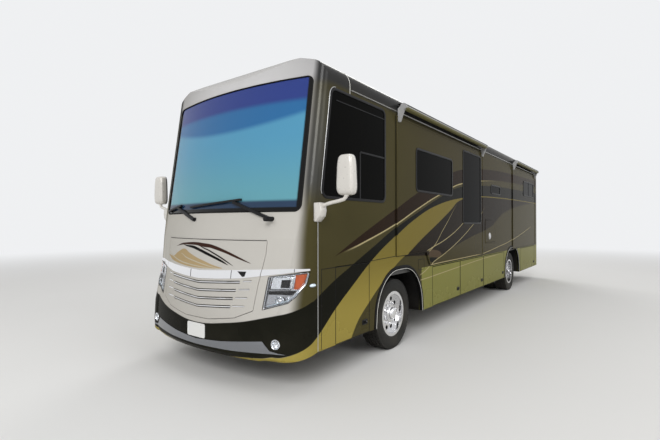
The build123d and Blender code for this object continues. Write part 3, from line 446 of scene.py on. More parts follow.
def coachPaint(name, leaves=None):
    m, t, shader, place = startMaterial(name, Metallic=0.25, Specular_IOR_Level=0.01, Coat_Weight=0.12,
        Specular_Tint=(0.32, 0.29, 0.19, 1), Coat_Roughness=0.03)
    base = useGroup(t, coachStripes, Place=place)["Color"]
    if leaves:
        base = useGroup(t, leaves, Place=place, Base=base)["Color"]
    tint, _ = shaded(t, place, base, 1.4, 0.1)
    dust = useGroup(t, roadDust, Place=place, Top=0.95)["Mask"]
    feed(t, blendColor(t, mul(t, dust, 0.05), tint, (0.3, 0.27, 0.2)), shader.inputs["Base Color"])
    feed(t, add(t, mul(t, dust, 0.1), 0.25), shader.inputs["Roughness"])
    grained(t, shader, place, 55.0, 2.0, 0.012, 0.0006)
    return m


def plainFinish(name, color, rough, metallic, grain, bump, depth, amount, dusty=0.0, **constants):
    m, t, shader, place = startMaterial(name, Metallic=metallic, **constants)
    out, fine = shaded(t, place, color, 2.2, amount)
    if dusty:
        dust = useGroup(t, roadDust, Place=place, Top=1.1)["Mask"]
        out = blendColor(t, mul(t, dust, dusty), out, (0.3, 0.26, 0.2))
    feed(t, out, shader.inputs["Base Color"])
    feed(t, add(t, mul(t, sub(t, fine, 0.5), 0.18), rough), shader.inputs["Roughness"])
    grained(t, shader, place, grain, 3.0, bump, depth)
    return m


plainFinishes = {  # colour, roughness, metallic, grain, bump, its depth, mottle, road dust
    "chrome": ((0.86, 0.86, 0.87), 0.09, 1.0, 40, 0.03, 0.001, 0.08),
    "brightAluminium": ((0.8, 0.8, 0.81), 0.16, 1.0, 60, 0.05, 0.001, 0.1, 0.15),
    "satinSilver": ((0.55, 0.55, 0.55), 0.32, 0.85, 90, 0.06, 0.001, 0.12),
    "blackRubber": ((0.008, 0.008, 0.008), 0.6, 0.0, 160, 0.2, 0.001, 0.4),
    "blackPlastic": ((0.012, 0.012, 0.013), 0.42, 0.0, 220, 0.25, 0.0006, 0.3),
    "chassisBlack": ((0.014, 0.014, 0.014), 0.5, 0.0, 70, 0.3, 0.002, 0.4, 0.5),
    "deckPanel": ((0.07, 0.07, 0.068), 0.6, 0.2, 50, 0.3, 0.002, 0.4, 0.5),
    "castMetal": ((0.09, 0.09, 0.095), 0.55, 0.4, 70, 0.5, 0.003, 0.4, 0.4),
    "roofGel": ((0.62, 0.61, 0.585), 0.35, 0.0, 30, 0.1, 0.002, 0.08),
    "tyreRubber": ((0.013, 0.013, 0.012), 0.66, 0.0, 200, 0.3, 0.001, 0.5, 0.12),
    "wellBlack": ((0.005, 0.005, 0.005), 0.8, 0.0, 90, 0.2, 0.001, 0.4, 0.1),
    "seatLeather": ((0.3, 0.23, 0.16), 0.5, 0.0, 300, 0.4, 0.001, 0.3),
    "sealWhite": ((0.66, 0.65, 0.61), 0.4, 0.0, 60, 0.1, 0.001, 0.1),
    "mirrorPaint": ((0.64, 0.615, 0.57), 0.3, 0.15, 40, 0.02, 0.0002, 0.04),
    "mirrorFace": ((0.75, 0.77, 0.79), 0.02, 1.0, 4, 0.005, 0.001, 0.03),
    "plateWhite": ((0.74, 0.74, 0.72), 0.35, 0.0, 90, 0.05, 0.0005, 0.05)}
plainConstants = {
    "blackRubber": {"Specular_IOR_Level": 0.1}, "blackPlastic": {"Specular_IOR_Level": 0.14},
    "tyreRubber": {"Specular_IOR_Level": 0.2}, "wellBlack": {"Specular_IOR_Level": 0.05},
    "mirrorPaint": {"Coat_Weight": 0.6, "Coat_Roughness": 0.05}}
finishes = {name: plainFinish(name, *row, **plainConstants.get(name, {})) for name, row in plainFinishes.items()}
finishes["capPaint"] = coachPaint("capPaint")
finishes["hoodPaint"] = coachPaint("hoodPaint", makeHoodLeaves())


def trimFinish():
    # bright by the lamps, smoked on the bumper
    m, t, shader, place = startMaterial("capTrimChrome", Metallic=1.0)
    base = blendColor(t, ramp(t, split(t, place)["Z"], 0.7, 0.8), (0.27, 0.28, 0.3), (0.86, 0.86, 0.87))
    fine = tinted(t, shader, place, base, 2.0, 0.12)
    feed(t, add(t, mul(t, fine, 0.08), 0.09), shader.inputs["Roughness"])
    grained(t, shader, place, 50.0, 2.0, 0.03, 0.001)
    return m


finishes["capTrimChrome"] = trimFinish()
print("materials ready")

paintOf = {  # what isn't here is painted like the walls
    "hoodPaint": "hood", "chrome": "hood_strip headlamps", "capTrimChrome": "cap_trim", "roofGel": "ac_units",
    "satinSilver": "mirrors", "blackPlastic": "wipers dashboard tail_lamps", "seatLeather": "seats",
    "chassisBlack": "chassis_rails cross_members front_axle rear_axle knuckle_left knuckle_right",
    "deckPanel": "floor bay_bulkheads engine_cover", "castMetal": "engine generator",
    "windshieldGlass": "windshield", "darkGlass": "side_glass entry_door_glass slide_glass_left_front "
    "slide_glass_left_rear slide_glass_right", "rolledFront": "topper_left_front", "rolledRear": "topper_left_rear",
    "rolledPatio": "patio_awning"}
nodeFinish = {n: finish for finish, names in paintOf.items() for n in names.split()}


def glassFinish(name, color, transmission):
    m, t, shader, place = startMaterial(name, Roughness=0.02, Transmission_Weight=transmission, IOR=1.45,
        Specular_IOR_Level=0.01)
    tinted(t, shader, place, color, 1.2, 0.3)
    return m


windshieldTones = {
    # the blue, lighter low and deeper high, is painted reflection of the sky
    "low": (0.15, 0.42, 0.5), "high": (0.1, 0.36, 0.56), "rise": (1.85, 2.7),
    # the shade band at the top, in two depths, lower at the sides
    "band": (0.026, 0.165, 0.4), "bandRise": (2.68, 2.76), "bandDrop": 0.1,
    "top": (0.028, 0.055, 0.27), "topRise": (2.94, 3.02), "foot": (0.025, 0.055, 0.115), "footRise": (1.895, 1.935),
    "frit": (0.001, 0.001, 0.001), "fritOut": (1.095, 1.115), "fritRise": (1.835, 1.85)}


def windshieldFinish():
    m, t, shader, place = startMaterial("windshieldGlass", Roughness=0.02, Transmission_Weight=0.25, IOR=1.45,
        Specular_IOR_Level=0.2)
    s = windshieldTones
    x, _, z = split(t, place)
    side = calc(t, "ABSOLUTE", x)
    # a blue gradient up the glass: painted reflection of the sky
    color = blendColor(t, ramp(t, z, *s["rise"]), s["low"], s["high"])
    sunk = sub(t, z, mul(t, calc(t, "POWER", side, 2.0), s["bandDrop"]))
    color = blendColor(t, ramp(t, sunk, *s["bandRise"]), color, s["band"])
    color = blendColor(t, ramp(t, z, *s["topRise"]), color, s["top"])
    color = blendColor(t, fall(t, z, *s["footRise"]), color, s["foot"])
    frit = calc(t, "MAXIMUM", ramp(t, side, *s["fritOut"]), fall(t, z, *s["fritRise"]))
    feed(t, blendColor(t, frit, color, s["frit"]), shader.inputs["Base Color"])
    return m


finishes["windshieldGlass"] = windshieldFinish()
finishes["darkGlass"] = glassFinish("darkGlass", (0.003, 0.003, 0.0027), 0.03)


rollerBands = {  # from the foot up
    # olive rolled cloth; above it a painted highlight line along the roller, then painted shade
    "olive": (0.125, 0.115, 0.042), "edgeRise": (3.217, 3.22), "edge": (0.36, 0.36, 0.35),
    "darkRise": (3.231, 3.234), "dark": (0.034, 0.034, 0.033), "bracket": (0.36, 0.36, 0.36)}


def rollerTones(t, z):
    s = rollerBands
    # olive cloth, a painted highlight line, and painted shade above it
    tone = blendColor(t, ramp(t, z, *s["edgeRise"]), s["olive"], s["edge"])
    return blendColor(t, ramp(t, z, *s["darkRise"]), tone, s["dark"])


def rolledFinish(name, nodeName):
    # rolled cloth between the two brackets, which reach lower than the roller
    ys = [v.co.y for v in nodes[nodeName].data.vertices if v.co.z < 3.17]
    mid = (min(ys) + max(ys)) / 2
    first, last = max(y for y in ys if y < mid), min(y for y in ys if y > mid)
    m, t, shader, place = startMaterial(name, Roughness=0.5, Specular_IOR_Level=0.2)
    _, y, z = split(t, place)
    cloth = mul(t, ramp(t, y, first, first + 0.004), fall(t, y, last - 0.004, last))
    color = blendColor(t, cloth, rollerBands["bracket"], rollerTones(t, z))
    fine = tinted(t, shader, place, color, 5.0, 0.25)
    bumped(t, shader, fine, 0.2, 0.002)
    return m


for finish in ("rolledFront", "rolledRear", "rolledPatio"):
    finishes[finish] = rolledFinish(finish, paintOf[finish])
for n, o in nodes.items():
    finish = {"tyre": "tyreRubber", "rim": "brightAluminium", "rims": "brightAluminium",
        "tyres": "tyreRubber"}.get(n.split("_")[0], nodeFinish.get(n, "capPaint"))
    o.data.materials.clear()
    o.data.materials.append(finishes[finish])


def studioFloor():
    m, t, shader, place = startMaterial("studioFloorFinish", Roughness=0.75)
    tinted(t, shader, place, studio["floorColor"][:3], 0.6, 0.03)
    # far off, the floor shows the backdrop's colour, so that no line stands behind the coach
    x, y, _ = split(t, place)
    away = calc(t, "SQRT", add(t, mul(t, x, x), mul(t, y, y)))
    glow = node(t, "ShaderNodeEmission", Color=studio["backdrop"], Strength=studio["backdropStrength"])
    mixShaders(t, mul(t, seenRays(t), ramp(t, away, *studio["floorFade"])), shader, glow,
        t.nodes["Material Output"].inputs["Surface"])
    s = studio["floorSize"]
    mesh = bpy.data.meshes.new("studioFloor")
    mesh.from_pydata([(-s, -s, 0), (s, -s, 0), (s, s, 0), (-s, s, 0)], [], [(0, 1, 2, 3)])
    mesh.materials.append(m)
    o = bpy.data.objects.new("studioFloor", mesh)
    bpy.context.scene.collection.objects.link(o)


studioFloor()


# Builders. What comes back often: finish, body and slot

rubberTrim = ("blackRubber", "coach", "black_plastic")
plasticTrim = ("blackPlastic", "coach", "black_plastic")
gelCoat = ("roofGel", "coach", "roof_white")
mirrorCoat = ("mirrorPaint", "coach", "cap_paint")
brightTrim = ("chrome", "coach", "bright_trim")
silverTrim = ("satinSilver", "coach", "bright_trim")
leather = ("seatLeather", "coach", "seat_leather")
doorBright = ("chrome", "entry", "bright_trim")


def settle(name, mesh, finish, body):
    if finish:
        mesh.materials.clear()
        mesh.materials.append(finishes[finish])
    o = bpy.data.objects.new(name, mesh)
    bpy.context.scene.collection.objects.link(o)
    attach(o, body)
    return o


def cleanMesh(name, bm, near=1e-6):
    bmesh.ops.remove_doubles(bm, verts=bm.verts, dist=near)
    bmesh.ops.recalc_face_normals(bm, faces=bm.faces)
    mesh = bpy.data.meshes.new(name)
    bm.to_mesh(mesh)
    bm.free()
    return mesh


def smoothed(mesh, angle=32):
    mesh.shade_smooth()
    mesh.set_sharp_from_angle(angle=math.radians(angle))
    return mesh


def fromBmesh(name, bm, finish, body, slotName, angle=32):
    return settle(name, smoothed(cleanMesh(name, bm, 2e-6), angle), finish, body)


def joinLoops(bm, loops, closed=True, capFirst=False, capLast=False):
    rows = [[bm.verts.new(p) for p in loop] for loop in loops]
    count = len(rows[0])
    for a, b in zip(rows, rows[1:]):
        for i in range(count if closed else count - 1):
            j = (i + 1) % count
            bm.faces.new((a[i], a[j], b[j], b[i]))
    if capFirst:
        bm.faces.new(list(reversed(rows[0])))
    if capLast:
        bm.faces.new(rows[-1])
    return rows


def lofted(name, loops, finish, body, slotName, angle=32, closed=True, first=False, last=True):
    bm = bmesh.new()
    joinLoops(bm, loops, closed, first, last)
    return fromBmesh(name, bm, finish, body, slotName, angle)


def thicken(o, thickness, offset=-1):
    mod = o.modifiers.new("thick", "SOLIDIFY")
    mod.thickness, mod.offset = thickness, offset


def circle(steps):
    return [(math.cos(2 * math.pi * i / steps), math.sin(2 * math.pi * i / steps)) for i in range(steps)]


def turned(profile, centre, steps=48):
    # round an axis along X; profile holds (place along it, radius)
    return [[(x, centre[0] + r * c, centre[1] + r * s) for c, s in circle(steps)] for x, r in profile]


def roundedOutline(corners, radius, steps=6):
    out = []
    count = len(corners)
    for i in range(count):
        a, b, c = (Vector(corners[(i + k) % count]) for k in (-1, 0, 1))
        u, v = (a - b).normalized(), (c - b).normalized()
        half = u.angle(v) / 2
        back = min(radius / math.tan(half), 0.49 * min((a - b).length, (c - b).length))
        r = back * math.tan(half)
        mid = b + (u + v).normalized() * (r / math.sin(half))
        p, q = b + u * back - mid, b + v * back - mid
        sweepAngle = math.pi - 2 * half
        turnSign = 1 if (p.x * q.y - p.y * q.x) > 0 else -1
        for k in range(steps + 1):
            t = turnSign * sweepAngle * k / steps
            out.append(mid + Vector((p.x * math.cos(t) - p.y * math.sin(t), p.x * math.sin(t) + p.y * math.cos(t))))
    return out


def cornersOf(y0, y1, z0, z1):
    return [(y0, z0), (y1, z0), (y1, z1), (y0, z1)]


def boxOutline(y0, y1, z0, z1, radius, steps=6):
    return roundedOutline(cornersOf(y0, y1, z0, z1), radius, steps)


def plateOutline(y, z, wide, high, radius, steps=6):
    return boxOutline(y - wide / 2, y + wide / 2, z - high / 2, z + high / 2, radius, steps)


def offsetOutline(points, by):
    area = sum(a[0] * b[1] - b[0] * a[1] for a, b in zip(points, points[1:] + points[:1]))
    out, count = [], len(points)
    for i in range(count):
        a, b, c = (Vector(points[(i + k) % count]) for k in (-1, 0, 1))
        n1, n2 = (Vector((v.y, -v.x)).normalized() for v in (b - a, c - b))
        m = (n1 + n2).normalized()
        out.append(b + m * (math.copysign(by, by * area) / max(0.35, m.dot(n1))))
    return out


def openOffset(points, by):
    out = []
    for i, p in enumerate(points):
        a, c = points[max(0, i - 1)], points[min(len(points) - 1, i + 1)]
        t = (c - a).normalized()
        out.append(p + Vector((t.y, -t.x)) * by)
    return out


def divided(points, step, closed=False):
    pts = [Vector(p) for p in points]
    if closed:
        pts.append(pts[0])
    out = []
    for a, b in zip(pts, pts[1:]):
        n = max(1, round((b - a).length / step))
        out += [a.lerp(b, k / n) for k in range(n)]
    if not closed:
        out.append(pts[-1])
    return out


def onSide(side, base=None):
    face = halfWidth if base is None else base
    return lambda y, z, h=0.0: Vector((side * (face + h), y, z))


def skinOf(*names):
    verts, faces = [], []
    for n in names:
        start = len(verts)
        mesh = nodes[n].data
        verts += [v.co.copy() for v in mesh.vertices]
        faces += [[start + i for i in p.vertices] for p in mesh.polygons]
    return BVHTree.FromPolygons(verts, faces)


frontSkin = skinOf("front_cap", "hood", "windshield", "headlamps", "hood_strip", "cap_trim")
capSkin = skinOf("front_cap", "roof", "rear_cap", "side_wall_left", "side_wall_right")


def onFront(x, z, h=0.0, skin=None):
    hit, normal, _, _ = (skin or frontSkin).ray_cast(Vector((x, frontAxle - 4, z)), Vector((0, 1, 0)))
    if hit is None:
        return Vector((x, frontAxle - 2, z))
    return hit - Vector((0, h, 0)) if abs(normal.y) < 0.2 else hit + normal * (h if normal.y < 0 else -h)


def aroundBody(y, angle, h=0.0, centreZ=2.6):
    way = Vector((math.cos(angle), 0, math.sin(angle)))
    for aside in (0.0, 0.012, -0.012, 0.02, -0.02):  # beside a seam's gap where the ray goes through it
        hit = capSkin.ray_cast(Vector((0, y + aside, centreZ)) + way * 5, -way)[0]
        if hit:
            return Vector((hit.x, y, hit.z)) + way * h
    return Vector((0, y, centreZ)) + way


def startTree(name, inputs):
    g = bpy.data.node_groups.new(name, "GeometryNodeTree")
    addSockets(g, "INPUT", [("Geometry", "Geometry")] + inputs + [("Finish", "Material")])
    addSockets(g, "OUTPUT", [("Geometry", "Geometry")])
    return g, g.nodes.new("NodeGroupInput").outputs, g.nodes.new("NodeGroupOutput").inputs


def endTree(g, gi, go, geometry):
    real = node(g, "GeometryNodeRealizeInstances", Geometry=geometry).outputs[0]
    feed(g, node(g, "GeometryNodeSetMaterial", Geometry=real, Material=gi["Finish"]).outputs[0], go[0])
    return g


def makeFollowLine():  # a round or oval bar along each line
    g, gi, go = startTree("followLine", [("Radius", "Float", 0.005), ("Flatness", "Float", 1.0), ("Sides", "Int", 8)])
    line = node(g, "GeometryNodeMeshToCurve", Mesh=gi["Geometry"]).outputs[0]
    ring = node(g, "GeometryNodeCurvePrimitiveCircle", Radius=gi["Radius"], Resolution=gi["Sides"]).outputs[0]
    size = node(g, "ShaderNodeCombineXYZ", X=1.0, Y=gi["Flatness"], Z=1.0).outputs[0]
    shape = node(g, "GeometryNodeTransform", Geometry=ring, Scale=size).outputs[0]
    skin = node(g, "GeometryNodeCurveToMesh", Curve=line, Profile_Curve=shape, Fill_Caps=True).outputs[0]
    return endTree(g, gi, go, node(g, "GeometryNodeSetShadeSmooth", Geometry=skin).outputs[0])


def makeRingOf():  # copies of one small piece round an axis along X
    g, gi, go = startTree("ringOf", [("Count", "Int", 10), ("Radius", "Float", 0.1), ("Start", "Float", 0.0),
        ("Place", "Vector")])
    share = calc(g, "DIVIDE", g.nodes.new("GeometryNodeInputIndex").outputs[0], gi["Count"])
    angle = add(g, mul(g, share, 2 * math.pi), gi["Start"])
    spot = node(g, "ShaderNodeCombineXYZ", Y=mul(g, calc(g, "COSINE", angle), gi["Radius"]),
        Z=mul(g, calc(g, "SINE", angle), gi["Radius"])).outputs[0]
    there = g.nodes.new("ShaderNodeVectorMath")
    feed(g, spot, there.inputs[0])
    feed(g, gi["Place"], there.inputs[1])
    points = node(g, "GeometryNodePoints", Count=gi["Count"], Position=there.outputs[0]).outputs[0]
    turned = node(g, "ShaderNodeCombineXYZ", X=angle).outputs[0]
    return endTree(g, gi, go, node(g, "GeometryNodeInstanceOnPoints", Points=points, Instance=gi["Geometry"],
        Rotation=turned).outputs[0])


def makeRowOf():  # copies of one small piece in a straight row
    g, gi, go = startTree("rowOf", [("Count", "Int", 4), ("Start", "Vector"), ("Step", "Vector")])
    line = node(g, "GeometryNodeMeshLine", Count=gi["Count"], Start_Location=gi["Start"], Offset=gi["Step"])
    return endTree(g, gi, go, node(g, "GeometryNodeInstanceOnPoints", Points=line.outputs[0],
        Instance=gi["Geometry"]).outputs[0])


followLine, ringOf, rowOf = makeFollowLine(), makeRingOf(), makeRowOf()


def grow(name, tree, source, finish, body, slotName, angle=32, **values):
    o = bpy.data.objects.new(name, source)
    bpy.context.scene.collection.objects.link(o)
    mod = o.modifiers.new(tree.name, "NODES")
    mod.node_group = tree
    values["Finish"] = finishes[finish]
    for item in tree.interface.items_tree:
        if item.item_type == "SOCKET" and item.in_out == "INPUT" and item.name in values:
            mod[item.identifier] = values[item.name]
    made = bpy.data.meshes.new_from_object(o.evaluated_get(bpy.context.evaluated_depsgraph_get()))
    made.name = name
    o.modifiers.remove(mod)
    bpy.data.objects.remove(o)
    return settle(name, smoothed(made, angle), None, body)


def bars(name, lines, radius, finish, body, slotName, closed=False, flat=1.0, sides=8):
    verts, edges = [], []
    for line in lines:
        start = len(verts)
        verts += [tuple(p) for p in line]
        edges += [(start + i, start + i + 1) for i in range(len(line) - 1)]
        if closed:
            edges.append((start + len(line) - 1, start))
    mesh = bpy.data.meshes.new(name)
    mesh.from_pydata(verts, edges, [])
    return grow(name, followLine, mesh, finish, body, slotName, 50, Radius=radius, Flatness=flat, Sides=sides)


def addBox(bm, centre, size, edge=0.0):
    made = bmesh.ops.create_cube(bm, size=1.0)["verts"]
    for v in made:
        v.co = Vector((v.co.x * size[0], v.co.y * size[1], v.co.z * size[2])) + Vector(centre)
    if edge:
        edges = {e for v in made for e in v.link_edges}
        bmesh.ops.bevel(bm, geom=list(edges), offset=edge, segments=2, affect="EDGES", profile=0.6)


def framed(name, outline, toPlace, steps, finish, body, slotName, hole=True, **more):
    # steps holds (offset outwards, height), from the outer foot to the inner one
    loops = [[toPlace(p[0], p[1], h) for p in offsetOutline(outline, off)] for off, h in steps]
    return lofted(name, loops, finish, body, slotName, last=not hole, **more)


def merged(objects, name):
    # several small pieces of one body and finish become one
    keep = objects[0]
    bm = bmesh.new()
    for o in objects:
        bm.from_mesh(o.data)
    bm.to_mesh(keep.data)
    bm.free()
    smoothed(keep.data)
    for o in objects[1:]:
        bpy.data.objects.remove(o)
    keep.name = name
    return keep


print("builders ready")


# Tyres and wheels

tyreShape = {
    "radius": 0.4645, "width": 0.255, "beadRadius": 0.279, "beadWidth": 0.78, "crownWidth": 0.8, "crownRise": 0.0012,
    "steps": 96, "lugs": 58, "grooveDepth": 0.011,
    # lugs: share of the pitch, depth, spread of the foot, slant, shift of every other row, drops of the rows
    "lugLong": 0.83, "lugDeep": 0.022, "lugFoot": 1.12, "lugSlant": 0.3, "lugShift": 0.35, "lugDrop": (0.0012, 0.004),
    "shoulder": 0.09,
    # half of the outline: share of the half width, radius
    "wall": [(0.8, 0.2865), (0.865, 0.291), (0.9, 0.3), (0.935, 0.318), (0.965, 0.322), (0.975, 0.33), (0.99, 0.352),
        (0.998, 0.376), (0.995, 0.398), (0.975, 0.418), (0.955, 0.424), (0.945, 0.43), (0.905, 0.444),
        (0.865, 0.4515)],
    "ribs": [(-0.101, 0.034), (-0.0535, 0.036), (0.0, 0.046), (0.0535, 0.036), (0.101, 0.034)]}
wheels = [  # tyre node, rim node, body, side, middles along X
    ("tyre_front_left", "rim_front_left", "wheel_front_left", 1, [1.105]),
    ("tyre_front_right", "rim_front_right", "wheel_front_right", -1, [-1.105]),
    ("tyres_rear_left", "rims_rear_left", "wheel_rear_left", 1, [1.105, 0.77]),
    ("tyres_rear_right", "rims_rear_right", "wheel_rear_right", -1, [-1.105, -0.77])]


def makeTyre(nodeName, body, middles, axleY):
    s = tyreShape
    half = s["width"] / 2
    centre = (axleY, s["radius"])
    loops, treads = [], []
    for i, mid in enumerate(middles):
        outer = [(mid + half * k, r) for k, r in s["wall"]]
        inner = [(mid - half * k, r) for k, r in reversed(s["wall"])]
        low = s["radius"] - s["grooveDepth"]
        crown = [(mid + half * k, low + (0 if k else s["crownRise"])) for k in (s["crownWidth"], 0, -s["crownWidth"])]
        beadSeat = [(mid + half * k, s["beadRadius"]) for k in (-s["beadWidth"], s["beadWidth"])]
        rows = turned(outer + crown + inner + beadSeat, centre, s["steps"])
        loops.append(rows + rows[:1])
        unit = bmesh.new()
        for k, (x, w) in enumerate(s["ribs"]):
            long = 2 * math.pi * s["radius"] / s["lugs"] * s["lugLong"]
            lift = -s["lugDrop"][0 if abs(x) < s["shoulder"] else 1]
            shift = (s["lugShift"] if k % 2 else 0.0) * long / s["radius"]
            made = bmesh.ops.create_cube(unit, size=1.0)["verts"]
            for v in made:
                flare = 1.0 if v.co.y > 0 else s["lugFoot"]
                spot = Vector((v.co.x * w * flare + x, v.co.y * s["lugDeep"] + lift - s["lugDeep"] / 2,
                    v.co.z * long * flare + v.co.x * w * s["lugSlant"] * (1 if k % 2 else -1)))
                v.co = Matrix.Rotation(shift, 4, "X") @ (spot + Vector((0, s["radius"], 0)))
                v.co.y -= s["radius"]
        mesh = cleanMesh("treadLugs", unit)
        treads.append(grow("%s_tread_%d" % (nodeName, i), ringOf, mesh, "tyreRubber", body, "tyre", 25,
            Count=s["lugs"], Radius=s["radius"], Place=(mid, axleY, s["radius"])))
    bm = bmesh.new()
    for rows in loops:
        joinLoops(bm, rows)
    tyre = fromBmesh(nodeName + "_carcass", bm, "tyreRubber", body, "tyre", 40)
    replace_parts(tyre, nodeName)
    merged(treads, nodeName + "_tread")


for tyreNode, rimNode, body, side, middles in wheels:
    makeTyre(tyreNode, body, middles, frontAxle if "front" in tyreNode else rearAxle)

hubShape = {
    "frontBolts": (6, 0.066, 0.046), "rearBolts": (8, 0.089, 0.014),  # count, radius, how far out
    "boltRadius": 0.0075, "boltHeight": 0.012, "seat": (0.088, 0.3),  # where the hub meets the disc: radius, angle
    "nuts": 10, "boltCircle": 0.1428, "nutRadius": 0.0165, "nutHeight": 0.03,
    "valve": 0.225, "valveAngle": -0.9, "valveRadius": 0.004, "valveLong": 0.045, "valveBend": 0.02,
    "capProfile": [(0.0, 0.088), (0.012, 0.088), (0.016, 0.084), (0.044, 0.079), (0.05, 0.074), (0.058, 0.06),
        (0.06, 0.052), (0.056, 0.048), (0.058, 0.03), (0.06, 0.004)],
    "flangeProfile": [(0.0, 0.104), (0.01, 0.104), (0.013, 0.1), (0.016, 0.098), (0.018, 0.078), (0.06, 0.072),
        (0.066, 0.066), (0.07, 0.05), (0.071, 0.004)]}


def makeNut(radius, height, side):
    bm = bmesh.new()
    rows = ((0.0, 1.28), (0.004, 1.28), (0.0045, 1.0), (0.72 * height, 1.0), (0.92 * height, 0.72), (height, 0.3))
    joinLoops(bm, [[(side * h, a * r * radius, b * r * radius) for a, b in circle(6)] for h, r in rows], True, False,
        True)
    return cleanMesh("wheelNut", bm)


def dressWheel(rimNode, body, side, axleY):
    s = hubShape
    centreZ = tyreShape["radius"]
    rim = skinOf(rimNode)

    def faceAt(radius, angle):
        spot = Vector((side * 2.0, axleY + radius * math.cos(angle), centreZ + radius * math.sin(angle)))
        hit = rim.ray_cast(spot, Vector((-side, 0, 0)))[0]
        return hit.x if hit else side * 1.0

    nutFace = faceAt(s["boltCircle"], math.pi / 10)
    grow(rimNode + "_nuts", ringOf, makeNut(s["nutRadius"], s["nutHeight"], side), "chrome", body,
        "polished_aluminium", 40, Count=s["nuts"], Radius=s["boltCircle"], Start=math.pi / 10,
        Place=(nutFace, axleY, centreZ))
    profile = s["capProfile"] if "front" in rimNode else s["flangeProfile"]
    base = faceAt(*s["seat"])
    lofted(rimNode + "_hub", turned([(base + side * (x - 0.002), r) for x, r in profile], (axleY, centreZ), 40),
        "chrome", body, "polished_aluminium", 30, first=True)
    count, radius, out = s["frontBolts" if "front" in rimNode else "rearBolts"]
    grow(rimNode + "_hubBolts", ringOf, makeNut(s["boltRadius"], s["boltHeight"], side), "chrome", body,
        "polished_aluminium", 40, Count=count, Radius=radius, Place=(base + side * out, axleY, centreZ))
    angle = s["valveAngle"]
    foot = faceAt(s["valve"], angle)
    stem = []
    for t in (k / 6 for k in range(7)):
        reach = s["valve"] - s["valveBend"] * t * t
        stem.append((foot + side * (s["valveRadius"] + s["valveLong"] * t), axleY + reach * math.cos(angle),
            centreZ + reach * math.sin(angle)))
    bars(rimNode + "_valve", [stem], s["valveRadius"], "chrome", body, "polished_aluminium")


for tyreNode, rimNode, body, side, middles in wheels:
    dressWheel(rimNode, body, side, frontAxle if "front" in rimNode else rearAxle)
print("wheels done")


# Windows

windowTrim = {
    "corner": 0.055, "steps": [(0.02, -0.001), (0.019, 0.006), (0.015, 0.008), (-0.007, 0.008), (-0.01, 0.005),
        (-0.012, -0.008)],
    "barWidth": 0.022, "barHeight": 0.004}
windows = [  # name, side, body, face, y from the front axle, y, z, z, y of upright bars
    ("slideFrontWindow", 1, "slide_room_left_front", slideFace, 0.55, 1.97, 2.15, 2.75, []),
    ("slideTallWindow", 1, "slide_room_left_front", slideFace, 2.52, 3.56, 1.68, 3.0, []),
    ("slideRearWindow", 1, "slide_room_left_rear", slideFace, 7.4, 8.7, 2.45, 2.83, [8.05]),
    ("wallWindowLeft", 1, "coach", None, 4.34, 5.06, 2.33, 2.5, []),
    ("slideRightWindowA", -1, "slide_room_right", slideFace, 1.0, 2.2, 2.0, 2.75, [1.6]),
    ("slideRightWindowB", -1, "slide_room_right", slideFace, 2.7, 3.9, 2.0, 2.75, [3.3]),
    ("wallWindowRightA", -1, "coach", None, -0.7, 0.1, 1.95, 3.0, []),
    ("wallWindowRightB", -1, "coach", None, 5.3, 6.1, 2.2, 2.75, [5.7]),
    ("wallWindowRightC", -1, "coach", None, 7.3, 8.4, 2.2, 2.75, [7.85]),
    ("entryWindow", -1, "entry", None, -1.42, -0.925, 1.65, 2.5, [])]


def frameWindow(name, side, body, outline, face, uprights, levels=()):
    place = onSide(side, face)
    framed(name + "_frame", outline, place, windowTrim["steps"], "blackPlastic", body, "dark_glass")
    zs = [p[1] for p in outline]
    w, h = windowTrim["barWidth"] / 2, windowTrim["barHeight"]
    cut = [cornersOf(y - w, y + w, min(zs), max(zs)) for y in uprights]
    for i, corners in enumerate(cut + list(levels)):
        framed("%s_bar_%d" % (name, i), corners, place, ((0.0, -0.01), (0.0, h - 0.002), (-0.002, h)), "blackPlastic",
            body, "dark_glass", False)


for name, side, body, face, y0, y1, z0, z1, uprights in windows:
    outline = boxOutline(fromAxle(y0), fromAxle(y1), z0, z1, windowTrim["corner"])
    frameWindow(name, side, body, outline, face, [fromAxle(y) for y in uprights])

driverWindow = {
    "corners": [(-1.48, 3.1), (-1.655, 1.95), (-0.35, 1.95), (-0.35, 3.1)], "corner": 0.075,
    "slider": [(-0.93, 1.955), (-0.355, 2.5)], "halfBar": 0.011, "topBar": (-1.4, -0.36, 2.985, 2.997)}


def dressDriverWindow():
    s = driverWindow
    outline = roundedOutline([(fromAxle(y), z) for y, z in s["corners"]], s["corner"])
    (ya, za), (yb, zb) = ((fromAxle(y), z) for y, z in s["slider"])
    w = s["halfBar"]
    first, last, low, high = s["topBar"]
    frameWindow("driverWindow", 1, "coach", outline, None, [],
        [cornersOf(ya, yb, zb - w, zb + w), cornersOf(ya - w, ya + w, za, zb),
        cornersOf(fromAxle(first), fromAxle(last), low, high)])


dressDriverWindow()

windshieldSeal = {
    "corners": [(-1.158, 1.8), (1.158, 1.8), (1.155, 3.222), (-1.155, 3.222)], "corner": 0.07,
    "radius": 0.009}
path = divided(roundedOutline(windshieldSeal["corners"], windshieldSeal["corner"], 8), 0.05, True)
bars("windshieldSeal", [[onFront(p[0], p[1], 0.001) for p in path]], windshieldSeal["radius"], *rubberTrim, True)
print("windows done")


# Bright lines, drip rails and seams

seams = {
    "capSeam": -1.72, "boxSeam": -1.662, "capBack": -1.14, "rearSeam": 9.0, "radius": 0.004, "gap": -0.0012,
    "skirt": 0.39, "glassFoot": 1.79, "boxTop": (-1.43, 1.208), "belt": [(-0.725, 1.222), (-0.056, 1.24)],
    "rail": 3.165, "railRadius": 0.011, "railFlat": 0.55, "trimOut": 0.026}


def sideLine(points, side, h):
    place = onSide(side)
    return [place(fromAxle(y), z, h) for y, z in points]


